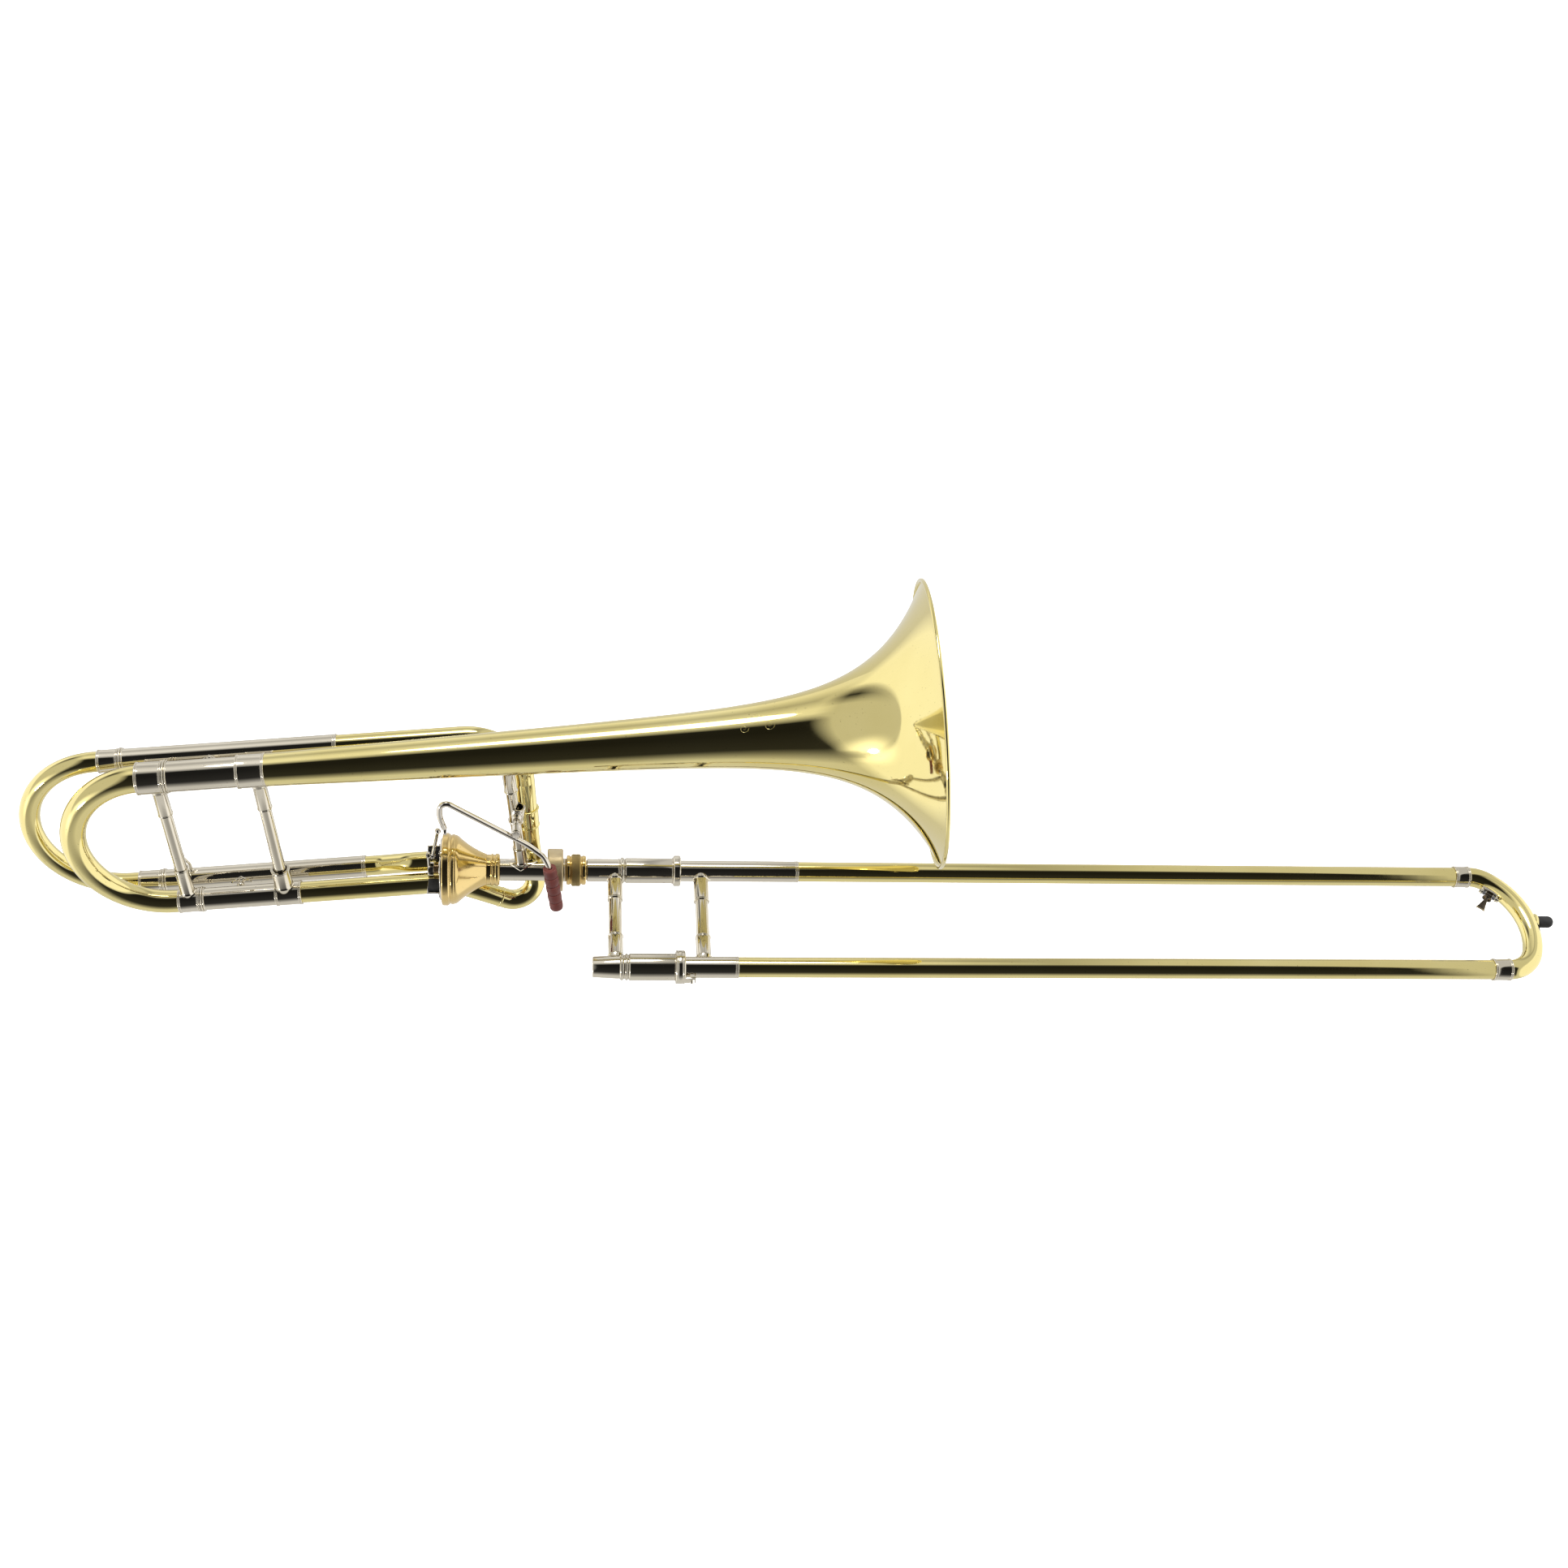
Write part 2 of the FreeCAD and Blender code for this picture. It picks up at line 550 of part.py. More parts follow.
def stub_axis_rod(radius, reach=0.0):
    """A rod down the stub's axis, from inside the casing to the stub ring."""
    direction = (RETURN_CORNER - STUB_START).normalize()
    return rod(STUB_START - direction * reach, along(STUB_START, RETURN_CORNER, STUB_RING_T), radius)


def casing_solid():
    """Outside of the valve casing: a flange with two beads and a hollow-sided cone to the neck."""
    start = V3(-102.4, 0, 25.6)
    middle = V3(-91.8, 0, 17.4)
    end = V3(CASE_END_X, 0, NECK_R)
    centre = V3(CASE_END_X, 0, 0)
    corners = [V3(CASE_REAR_X, 0, 0), V3(CASE_REAR_X, 0, FLANGE_R - 0.9),
               V3(CASE_REAR_X + 0.9, 0, FLANGE_R), V3(-109.4, 0, FLANGE_R), V3(-108.6, 0, 27.0),
               V3(-107.6, 0, 26.6), V3(-106.6, 0, 27.0), V3(-103.6, 0, 27.0), start]
    edges = [Part.LineSegment(a, b).toShape() for a, b in zip(corners, corners[1:])]
    edges.append(Part.Arc(start, middle, end).toShape())
    edges.append(Part.LineSegment(end, centre).toShape())
    edges.append(Part.LineSegment(centre, corners[0]).toShape())
    return Part.Face(Part.Wire(edges)).revolve(V3(0, 0, 0), AXIS_X, 360)


def rotor_cavity():
    """The conical space the rotor turns in."""
    return turning([(CASE_REAR_X, 0), (CASE_REAR_X, CAVITY_REAR_R), (CASE_FRONT_X, CAVITY_FRONT_R),
                    (CASE_FRONT_X, 0)])


def valve_casing():
    front = Part.makeCylinder(BORE_R, 10, V3(CASE_FRONT_X - 1, 0, 0), AXIS_X)
    return casing_solid().cut(rotor_cavity()).cut(front).cut(stub_axis_rod(F_TUBE_R, 6.0))


def valve_neck():
    """The beaded neck between the casing and the slide receiver."""
    return turning([(CASE_END_X, BORE_R), (CASE_END_X, NECK_R), (-78.6, 11.6), (-77.4, 11.6), (-76.4, 12.3),
                    (-75.4, 11.8), (-74.4, 11.8), (-73.6, 12.4), (-71.6, 12.4), (-71.0, 11.8),
                    (-71.0, BORE_R)])


def back_plate():
    """The valve's rear plate: the spindle's bearing, the two ports and the bumpers' backing ears."""
    plate = Part.makeCylinder(24.0, CASE_REAR_X - PLATE_REAR_X, V3(PLATE_REAR_X, 0, 0), AXIS_X)
    for radius, y, z in [(SPINDLE_R + 0.08, 0, 0), (BORE_R, F_PORT[0], F_PORT[1]), (BORE_R, 0, MAIN_LEG_Z)]:
        plate = plate.cut(Part.makeCylinder(radius, 5, V3(PLATE_REAR_X - 1.5, y, z), AXIS_X))
    return plate.fuse(bumper_pair(6.2, 1.2, 7.0, 22.5, -125.4, PLATE_REAR_X))


def rotor():
    """The conical rotor with its passages and the spindle that carries the stop arm."""
    rear = CASE_REAR_X + 0.4
    front = CASE_FRONT_X - 0.4
    body = turning([(rear, 0), (rear, CAVITY_REAR_R - ROTOR_CLEARANCE - 0.2),
                    (front, CAVITY_FRONT_R - ROTOR_CLEARANCE - 0.2), (front, 0)])
    passage = rod(V3(front + 2, 0, 0), V3(rear - 2, 0, MAIN_LEG_Z - 0.8), 6.2)
    turn = math.radians(ROTOR_TURN_DEG)
    second = (MAIN_LEG_Z * math.sin(turn), MAIN_LEG_Z * math.cos(turn))
    side = rod(V3(rear - 2, second[0], second[1]), V3(-96, second[0] * 1.7, second[1] * 1.7), 6.0)
    spindle = Part.makeCylinder(SPINDLE_R, 12.0, V3(ARM_X0 - 0.2, 0, 0), AXIS_X)
    return body.cut(passage).cut(side).fuse(spindle).removeSplitter()


def stop_arm():
    """The arm on the spindle: a hub, a blade that meets the bumpers and the pin for the link's eye."""
    reach = math.hypot(*ARM_BALL)
    hub = Part.makeCylinder(5.6, 4.6, V3(ARM_X0, 0, 0), AXIS_X)
    blade = Part.makeBox(ARM_X1 - ARM_X0, 6.0, reach, V3(ARM_X0, -3.0, 0))
    eye = Part.makeCylinder(3.0, ARM_X1 - ARM_X0, V3(ARM_X0, 0, reach), AXIS_X)
    pin_end = LINK_FOOT_X + LINK_EYE_HALF + 0.9
    pin = Part.makeCylinder(1.42, pin_end - ARM_X1, V3(ARM_X1, 0, reach), AXIS_X)
    arm = hub.fuse([blade, eye, pin]).removeSplitter()
    arm = turned(arm, AXIS_X, math.degrees(math.atan2(-ARM_BALL[0], ARM_BALL[1])))
    return arm.cut(Part.makeCylinder(SPINDLE_R, 14, V3(ARM_X0 - 3.8, 0, 0), AXIS_X))


def bumper_pair(offset, thickness, radial_from, radial_to, x0, x1):
    """One block on each side of the stop arm's sweep; the second is a rotor turn away."""
    rest = math.degrees(math.atan2(-ARM_BALL[0], ARM_BALL[1]))
    height = radial_to - radial_from
    first = Part.makeBox(x1 - x0, thickness, height, V3(x0, offset, radial_from))
    second = Part.makeBox(x1 - x0, thickness, height, V3(x0, -offset - thickness, radial_from))
    return [turned(first, AXIS_X, rest), turned(second, AXIS_X, rest + ROTOR_TURN_DEG)]


def link_rod():
    """The link from the stop arm's pin up to its ball beside the lever's hooked end."""
    foot = V3(LINK_FOOT_X, ARM_BALL[0], ARM_BALL[1])
    eye = Part.makeCylinder(3.0, 2 * LINK_EYE_HALF, foot - AXIS_X * LINK_EYE_HALF, AXIS_X)
    bar = rod(foot, LINK_TOP, 1.3)
    ball = Part.makeSphere(2.4, LINK_TOP)
    hole = Part.makeCylinder(1.5, 6 * LINK_EYE_HALF, foot - AXIS_X * 3 * LINK_EYE_HALF, AXIS_X)
    return eye.fuse([bar, ball]).cut(hole).removeSplitter()


# ---- thumb lever --------------------------------------------------------------------------------
def lever_rod():
    """The bent lever: hooked over at the link, hung under its hinge barrel, ending inside the grip."""
    points = [LEVER_EYE, V3(-114.6, LEVER_Y, 72.0), V3(-113.4, LEVER_Y, 87.9), V3(-50.0, LEVER_Y, 44.4),
              V3(-37.5, -22.8, 35.0), GRIP_TOP, along(GRIP_TOP, GRIP_END, GRIP_SEAT)]
    bar = swept(route(points, [30.0, 5.0, 60.0, 12.0, 30.0]), LEVER_ROD_R)
    eye = Part.makeCylinder(2.9, 2.4, LEVER_EYE - AXIS_X * 1.2, AXIS_X)
    neck = rod(V3(LEVER_PIVOT.x, LEVER_Y, LEVER_PIVOT.z), V3(LEVER_PIVOT.x, LEVER_Y, 50.0), 2.0)
    barrel = Part.makeCylinder(3.4, 9.0, V3(LEVER_PIVOT.x, LEVER_Y - 2.4, LEVER_PIVOT.z), AXIS_Y)
    pin_hole = Part.makeCylinder(1.55, 20, V3(LEVER_PIVOT.x, LEVER_Y - 6, LEVER_PIVOT.z), AXIS_Y)
    return bar.fuse([eye, neck, barrel]).cut(pin_hole).removeSplitter()


def thumb_grip():
    """A moulded sleeve with five grooves, over the lever's end."""
    length = (GRIP_END - GRIP_TOP).Length
    segments = 5
    pitch = length / segments
    outline = [(0, 0.01)]
    for index in range(segments):
        start = index * pitch
        swell = 5.15 + 0.25 * math.sin(math.pi * (index + 0.5) / segments)
        outline += [(start + 0.35, swell - 0.6), (start + 1.4, swell), (start + pitch - 1.4, swell),
                    (start + pitch - 0.35, swell - 0.6)]
    outline[1] = (0.0, 3.6)
    outline[-1] = (length, 3.4)
    outline.append((length, 0.01))
    sleeve_shape = turning(outline)
    heading = FreeCAD.Rotation(AXIS_X, GRIP_END - GRIP_TOP)
    return placed(sleeve_shape, FreeCAD.Placement(GRIP_TOP, heading)).cut(
        rod(GRIP_TOP - (GRIP_END - GRIP_TOP) * 0.1, along(GRIP_TOP, GRIP_END, GRIP_SEAT), LEVER_ROD_R))


def lever_brace():
    """The stay from the bell to the slide receiver, with the collar that carries the lever's hinge."""
    top_r = bell_radius(LEVER_BRACE_X)
    top = BELL_AXIS_Z - top_r
    low_axis = -LEVER_BRACE_X * math.tan(math.radians(PITCH_DEG))
    base = low_axis + 5
    stages = [(base, top + 2, 4.1), (base, low_axis + 24, 4.8), (low_axis + 22.6, low_axis + 24.4, 5.3),
              (top - 19, top + 2, 4.9), (top - 20.2, top - 18.6, 5.4)]
    rods = [rod(V3(LEVER_BRACE_X, 0, low), V3(LEVER_BRACE_X, 0, high), radius)
            for low, high, radius in stages]
    shape = rods[0].fuse(rods[1:])
    inside = moved(turning([(x, r) for x, r in bell_void()]), z=BELL_AXIS_Z)
    return shape.cut(inside)


def bell_void():
    """The solid outline of the bell near the lever brace, used to trim what stands on it."""
    xs = [LEVER_BRACE_X - 90 + 20 * index for index in range(10)]
    points = [(x, bell_radius(x)) for x in xs]
    return [(xs[0], 0.01)] + points + [(xs[-1], 0.01)]


def trimmed_by_receiver(shape):
    """Trim a bell-frame shape by the slide receiver, which lies on the valve axis."""
    cylinder = Part.makeCylinder(RECEIVER_R, 80, V3(-90, 0, 0), AXIS_X)
    relative = BELL_FRAME.inverse().multiply(VALVE_FRAME)
    return shape.cut(placed(cylinder, relative))


def hinge_bracket():
    """Collar on the lever brace with the pin that the lever's barrel turns on."""
    x = LEVER_PIVOT.x
    z = LEVER_PIVOT.z
    block = rod(V3(x, 2.0, z), V3(x, -9.0, z), 3.6)
    head = rod(V3(x, LEVER_Y - 3.9, z), V3(x, LEVER_Y - 2.6, z), 2.9)
    pin = rod(V3(x, -9.0, z), V3(x, LEVER_Y - 3.2, z), 1.48)
    band = rod(V3(x - 0.9, 0, z - 7.5), V3(x + 0.7, 0, z + 7.5), 5.9)
    relative = VALVE_FRAME.inverse().multiply(BELL_FRAME)
    return band.fuse([block, head, pin]).cut(placed(lever_brace(), relative)).removeSplitter()


def receiver_foot():
    foot = diamond_foot(RECEIVER_R, 13.0, 8.4)
    return moved(foot, x=-54.9)


# ---- bell section -------------------------------------------------------------------------------
def slide_receiver():
    """The tube the hand slide plugs into, with the external thread for the lock nut."""
    return turning([(-71.0, BORE_R), (-71.0, RECEIVER_R), (-22.2, RECEIVER_R), (-22.2, 9.2),
                    (-9.0, 9.2), (-8.4, 8.8), (-8.4, RECEIVER_BORE_R), (-52.0, RECEIVER_BORE_R),
                    (-52.0, BORE_R)])


def receiver_collar():
    return turning([(-34.5, RECEIVER_R), (-34.5, 15.9), (-33.9, COLLAR_R), (-23.0, COLLAR_R),
                    (-22.4, 15.9), (-22.4, RECEIVER_R)])


def lock_nut():
    """The knurled nut that draws the slide into the receiver."""
    return turning([(-19.8, 9.35), (-19.8, 11.0), (-19.2, 11.6), (-17.4, 11.6), (-17.0, 10.9), (-16.4, 10.9),
                    (-16.0, 12.4), (-9.2, 12.4), (-8.8, 10.9), (-8.2, 10.9), (-7.6, 11.4), (-5.4, 11.2),
                    (-4.9, 10.6), (-4.9, 7.9), (-7.6, 7.9), (-7.6, 9.35)])


def neck_stay(length_from, length_to, x, z, ball_r):
    """A short stay along Y with a diamond foot at each end and a ball in the middle."""
    bar = rod(V3(x, length_from - 1.5, z), V3(x, length_to + 1.5, z), 1.9)
    ball = Part.makeSphere(ball_r, V3(x, (length_from + length_to) / 2, z))
    return bar.fuse(ball)


def stay_between(x, main_z, main_r, f_z):
    """A stay from a main leg to the F leg beside it."""
    z = (main_z + f_z) / 2
    stay = neck_stay(main_r, F_Y - F_SLEEVE_R, x, z, 3.0)
    near = moved(turned(diamond_foot(main_r, 9.0, 5.5), AXIS_X, -90), x=x, z=main_z)
    far = moved(turned(diamond_foot(F_SLEEVE_R, 9.0, 5.5), AXIS_X, 90), x=x, y=F_Y, z=f_z)
    stay = stay.cut(Part.makeCylinder(main_r, 60, V3(x - 30, 0, main_z), AXIS_X))
    stay = stay.cut(Part.makeCylinder(F_SLEEVE_R, 60, V3(x - 30, F_Y, f_z), AXIS_X))
    return stay.fuse([near, far]).removeSplitter()


def front_stay():
    """The stay from the bell's throat to the F upper leg."""
    x = -4.0
    stay = neck_stay(bell_radius(x), F_Y - F_TUBE_R, x, F_UPPER_Z + 1.0, 2.2)
    far = moved(turned(diamond_foot(F_TUBE_R, 8.0, 5.0), AXIS_X, 90), x=x, y=F_Y, z=F_UPPER_Z)
    stay = stay.cut(moved(turning(bell_void()), z=BELL_AXIS_Z))
    stay = stay.cut(Part.makeCylinder(F_TUBE_R, 60, V3(x - 30, F_Y, F_UPPER_Z), AXIS_X))
    return stay.fuse(far).removeSplitter()


def f_hook():
    """A small curved post with a ball head on the F lower leg."""
    foot = V3(-193.0, F_Y, F_LOWER_Z + F_SLEEVE_R)
    path = route([foot - AXIS_Z * 1.0, foot + AXIS_Z * 7.0, foot + V3(-4.5, 0, 15.0)], [6.0])
    post = swept(path, 1.2).fuse(Part.makeSphere(2.3, foot + V3(-4.5, 0, 15.6)))
    pad = moved(diamond_foot(F_SLEEVE_R, 5.0, 3.2), x=foot.x, y=F_Y, z=F_LOWER_Z)
    return post.cut(Part.makeCylinder(F_SLEEVE_R, 40, V3(foot.x - 20, F_Y, F_LOWER_Z), AXIS_X)).fuse(pad)


def slide_outer(x0, x1, outer, bore, ring):
    """An outer tuning-slide leg with its flanged ring at the mouth x0."""
    return turning([(x0, bore), (x0, ring - 0.3), (x0 + 0.3, ring), (x0 + 3.0, ring), (x0 + 3.4, outer),
                    (x1, outer), (x1, bore)])


def bell_point(point):
    """A valve-frame point in the bell frame."""
    return BELL_FRAME.inverse().multiply(VALVE_FRAME).multVec(point)


def gooseneck():
    joint = along(DOWN_TOP, DOWN_LOW, DOWN_JOINT)
    path = route([V3(F_UPPER_SLEEVE_END - 8, F_Y, F_UPPER_Z), GOOSENECK_TOP, DOWN_TOP, joint],
                 [GOOSENECK_BEND_R, 12.0])
    return hose(path, F_TUBE_R, F_WALL)


def return_crook():
    joint = along(DOWN_TOP, DOWN_LOW, DOWN_JOINT)
    corner = bell_point(RETURN_CORNER)
    ring = bell_point(along(STUB_START, RETURN_CORNER, STUB_RING_T))
    path = route([joint, DOWN_LOW, corner, ring], [30.0, 16.1])
    return hose(path, F_TUBE_R, F_WALL)


def down_ferrule():
    joint = along(DOWN_TOP, DOWN_LOW, DOWN_JOINT)
    heading = FreeCAD.Rotation(AXIS_X, DOWN_LOW - DOWN_TOP)
    band = turning([(-8.2, F_TUBE_R), (-8.2, 9.0), (-7.6, 9.4), (-6.6, 9.4), (-5.8, 8.6), (6.6, 8.6),
                    (7.6, 8.9), (8.2, 8.4), (8.2, F_TUBE_R)])
    return placed(band, FreeCAD.Placement(joint, heading))


def f_stub():
    """The stub that leaves the casing at a slant, with the ring where the return crook joins it."""
    pipe = stub_axis_rod(F_TUBE_R).cut(stub_axis_rod(F_TUBE_R - F_WALL, 3.0))
    return pipe.cut(rotor_cavity())


def f_lower_leg():
    points = [V3(F_LOWER_SLEEVE_END - 8, F_Y, F_LOWER_Z), V3(-47.0, F_Y, F_LOWER_Z),
              V3(-22.0, 15.6, -5.2), V3(1.8, 15.3, -5.2)]
    path = route(points, [22.0, 20.0])
    return hose(path, F_TUBE_R, F_WALL)


def build_bell_section():
    save("bell", [bell()], BELL_FRAME)
    save("slide_receiver", [slide_receiver()], VALVE_FRAME)
    save("receiver_collar", [receiver_collar()], VALVE_FRAME)
    save("bell_lock_nut", [lock_nut()], VALVE_FRAME)
    save("valve_casing", [valve_casing()], VALVE_FRAME)
    save("valve_neck", [valve_neck()], VALVE_FRAME)
    save("valve_back_plate", [back_plate()], VALVE_FRAME)
    save("rotor", [rotor()], VALVE_FRAME)
    save("stop_arm", [stop_arm()], VALVE_FRAME)
    save("stop_bumpers", bumper_pair(3.2, 3.0, 8.0, 21.0, -125.0, PLATE_REAR_X), VALVE_FRAME)
    save("link_rod", [link_rod()], VALVE_FRAME)
    save("lever_rod", [lever_rod()], VALVE_FRAME)
    save("thumb_grip", [thumb_grip()], VALVE_FRAME)
    save("hinge_bracket", [hinge_bracket()], VALVE_FRAME)
    relative = VALVE_FRAME.inverse().multiply(BELL_FRAME)
    stay = placed(trimmed_by_receiver(lever_brace()), relative)
    save("lever_brace", [stay.fuse(receiver_foot()).removeSplitter()], VALVE_FRAME)

    main_bore_upper = 10.95
    main_bore_lower = 7.75
    tail_bore = bell_radius(MAIN_FIXED_UPPER[1]) + SOLDER_GAP
    tail_ferrule = beaded_sleeve(*MAIN_FIXED_UPPER, 12.5, 11.5, (BELL_TAIL_X, tail_bore))
    tail_ferrule = moved(tail_ferrule, z=BELL_AXIS_Z)
    leg_ferrule = moved(beaded_sleeve(*MAIN_FIXED_LOWER, 9.1, 8.6, (-116.0, 8.25)), z=MAIN_LEG_Z)
    save("bell_tail_ferrule", [tail_ferrule], BELL_FRAME)
    sleeve_upper = slide_outer(-185.0, BELL_TAIL_X, 11.5, main_bore_upper, 12.9)
    save("main_sleeve_upper", [moved(sleeve_upper, z=BELL_AXIS_Z)], BELL_FRAME)
    sleeve_lower = slide_outer(-183.0, -116.0, 8.6, main_bore_lower, 9.9)
    save("main_sleeve_lower", [moved(sleeve_lower, z=MAIN_LEG_Z)], BELL_FRAME)
    save("main_leg_ferrule", [leg_ferrule], BELL_FRAME)
    leg = moved(sleeve(-116.0, 1.8, MAIN_LEG_R, MAIN_LEG_R - 0.6), z=MAIN_LEG_Z)
    save("main_leg", [leg.cut(back_of_plate())], BELL_FRAME)
    height = BELL_AXIS_Z - MAIN_LEG_Z
    pieces = brace(height, 9.15, 12.5, 5.4, 4.6, 17.0, 24.0, cup_r=6.9)
    pieces = [moved(piece, BELL_BRACE_X, 0, MAIN_LEG_Z).cut(tail_ferrule).cut(leg_ferrule)
              for piece in pieces]
    save("bell_brace", [largest(piece) for piece in pieces], BELL_FRAME)

    f_upper = slide_outer(-222.0, F_UPPER_SLEEVE_END, F_SLEEVE_R, 7.75, 9.6)
    f_lower = slide_outer(-216.0, F_LOWER_SLEEVE_END, F_SLEEVE_R, 7.75, 9.6)
    save("f_sleeve_upper", [moved(f_upper, y=F_Y, z=F_UPPER_Z)], BELL_FRAME)
    save("f_sleeve_lower", [moved(f_lower, y=F_Y, z=F_LOWER_Z)], BELL_FRAME)
    save("f_gooseneck", [gooseneck()], BELL_FRAME)
    save("f_down_ferrule", [down_ferrule()], BELL_FRAME)
    save("f_return_crook", [return_crook()], BELL_FRAME)
    save("f_stub", [f_stub()], VALVE_FRAME)
    save("f_lower_leg", [f_lower_leg().cut(back_of_plate())], BELL_FRAME)
    save("leg_stays", [stay_between(-155.0, BELL_AXIS_Z, 11.5, F_UPPER_Z),
                       stay_between(-155.0, MAIN_LEG_Z, 8.6, F_LOWER_Z), front_stay()], BELL_FRAME)
    save("f_hook", [f_hook()], BELL_FRAME)


def back_of_plate():
    """Everything forward of the valve's rear plate, used to trim the legs square to it."""
    block = Part.makeBox(60, 80, 80, V3(PLATE_REAR_X, -40, -40))
    relative = BELL_FRAME.inverse().multiply(VALVE_FRAME)
    return placed(block, relative)


# ---- tuning slides ------------------------------------------------------------------------------
def slide_leg(x0, x1, outer, wall, y, z):
    return moved(sleeve(x0, x1, outer, outer - wall), y=y, z=z)


def build_tuning_slides():
    path = semicircle_path(-196.0, -192.0, MAIN_CROOK_X, BELL_AXIS_Z, MAIN_LEG_Z, 0)
    save("main_crook", [hose(path, MAIN_CROOK_R_TOP, 0.6, MAIN_CROOK_R_LOW)], BELL_FRAME)
    upper = moved(beaded_sleeve(*MAIN_UPPER_FERRULE, 12.0, MAIN_CROOK_R_TOP, (-196.0, 10.88)), z=BELL_AXIS_Z)
    lower = beaded_sleeve(*MAIN_LOWER_FERRULE, 9.2, MAIN_CROOK_R_LOW + 0.05, (-192.0, 7.68))
    lower = moved(lower, z=MAIN_LEG_Z)
    save("main_crook_ferrules", [upper, lower], BELL_FRAME)
    save("main_slide_tubes", [slide_leg(-196.0, -127.0, 10.88, 0.5, 0, BELL_AXIS_Z),
                              slide_leg(-192.0, -119.0, 7.68, 0.5, 0, MAIN_LEG_Z)], BELL_FRAME)
    height = BELL_AXIS_Z - MAIN_LEG_Z
    pieces = brace(height, 9.2, 12.0, 5.4, 4.7, 25.0, 24.0, feet=(4.9, 4.9))
    pieces = [moved(piece, TUNING_BRACE_X, 0, MAIN_LEG_Z).cut(upper).cut(lower) for piece in pieces]
    save("tuning_brace", [largest(piece) for piece in pieces], BELL_FRAME)

    path = semicircle_path(-229.0, -225.0, F_CROOK_X, F_UPPER_Z, F_LOWER_Z, F_Y)
    save("f_crook", [hose(path, F_TUBE_R, F_WALL)], BELL_FRAME)
    upper = moved(beaded_sleeve(*F_UPPER_FERRULE, 8.6, F_TUBE_R), y=F_Y, z=F_UPPER_Z)
    lower = moved(beaded_sleeve(*F_LOWER_FERRULE, 8.6, F_TUBE_R), y=F_Y, z=F_LOWER_Z)
    save("f_crook_ferrules", [upper, lower], BELL_FRAME)
    save("f_slide_tubes", [slide_leg(-229.0, -140.0, 7.68, 0.5, F_Y, F_UPPER_Z),
                           slide_leg(-225.0, -134.0, 7.68, 0.5, F_Y, F_LOWER_Z)], BELL_FRAME)


os.makedirs("parts", exist_ok=True)
build_inner_slide()
build_outer_slide()
build_bell_section()
build_tuning_slides()
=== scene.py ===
import math

import bmesh
import bpy
from mathutils import Matrix, Vector


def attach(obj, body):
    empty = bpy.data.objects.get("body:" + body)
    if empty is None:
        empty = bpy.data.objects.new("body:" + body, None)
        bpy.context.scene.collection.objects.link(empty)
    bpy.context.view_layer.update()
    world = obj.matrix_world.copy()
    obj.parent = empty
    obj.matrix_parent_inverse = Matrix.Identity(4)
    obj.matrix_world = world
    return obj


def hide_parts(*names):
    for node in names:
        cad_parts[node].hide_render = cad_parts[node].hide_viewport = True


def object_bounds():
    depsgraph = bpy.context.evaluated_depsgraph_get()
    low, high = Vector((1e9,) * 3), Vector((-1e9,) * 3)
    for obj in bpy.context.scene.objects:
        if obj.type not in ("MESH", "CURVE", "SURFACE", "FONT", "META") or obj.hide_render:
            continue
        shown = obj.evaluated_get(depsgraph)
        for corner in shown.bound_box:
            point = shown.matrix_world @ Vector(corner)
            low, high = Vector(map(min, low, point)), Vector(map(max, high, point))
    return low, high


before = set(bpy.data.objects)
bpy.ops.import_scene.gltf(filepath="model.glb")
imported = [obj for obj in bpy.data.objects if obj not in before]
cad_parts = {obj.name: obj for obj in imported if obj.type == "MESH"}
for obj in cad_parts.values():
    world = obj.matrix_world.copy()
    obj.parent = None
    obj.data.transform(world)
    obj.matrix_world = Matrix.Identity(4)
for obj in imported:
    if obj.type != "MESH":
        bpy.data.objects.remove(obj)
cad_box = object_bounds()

# Looks of a tenor trombone with an axial-flow F attachment. Lengths in the tables are millimetres
# in the part, valve or bell frame, and every mesh is scaled to metres when it is made.

MM = Matrix.Scale(0.001, 4)
SPACING = 88.0
ROLL_DEG, TILT_DEG = 12.4, 6.2
PART = Matrix.Identity(4)
UPPER = Matrix.Translation((0, SPACING, 0))
VALVE = UPPER @ Matrix.Rotation(math.radians(-ROLL_DEG), 4, "X")
BELL = VALVE @ Matrix.Translation((-118.0, 0, 0)) @ Matrix.Rotation(math.radians(-TILT_DEG), 4, "Y")
X, Y, Z = Vector((1, 0, 0)), Vector((0, 1, 0)), Vector((0, 0, 1))

scene = bpy.context.scene


def V(x, y, z):
    return Vector((x, y, z))


def to_bell(point):
    """A valve-frame point in the bell frame."""
    return BELL.inverted() @ (VALVE @ point)


# ---- camera -------------------------------------------------------------------------------------
def make_camera(place, lens, swing, elevation, roll):
    swing, elevation, roll = (math.radians(a) for a in (swing, elevation, roll))
    level = V(0, math.cos(elevation), -math.sin(elevation))
    rise = V(0, math.sin(elevation), math.cos(elevation))
    forward = level * math.cos(swing) + X * math.sin(swing)
    side = X * math.cos(swing) - level * math.sin(swing)
    right = side * math.cos(roll) + rise * math.sin(roll)
    up = rise * math.cos(roll) - side * math.sin(roll)
    data = bpy.data.cameras.new("camera")
    data.lens = lens
    data.sensor_width = 36.0
    data.clip_start = 0.05
    data.clip_end = 60.0
    camera = bpy.data.objects.new("camera", data)
    scene.collection.objects.link(camera)
    turn = Matrix((right, up, -forward)).transposed().to_4x4()
    camera.matrix_world = Matrix.Translation(place) @ turn
    scene.camera = camera


make_camera(V(-0.0343, -0.8770, 1.3934), 50.08, 6.156, 52.978, 0.695)


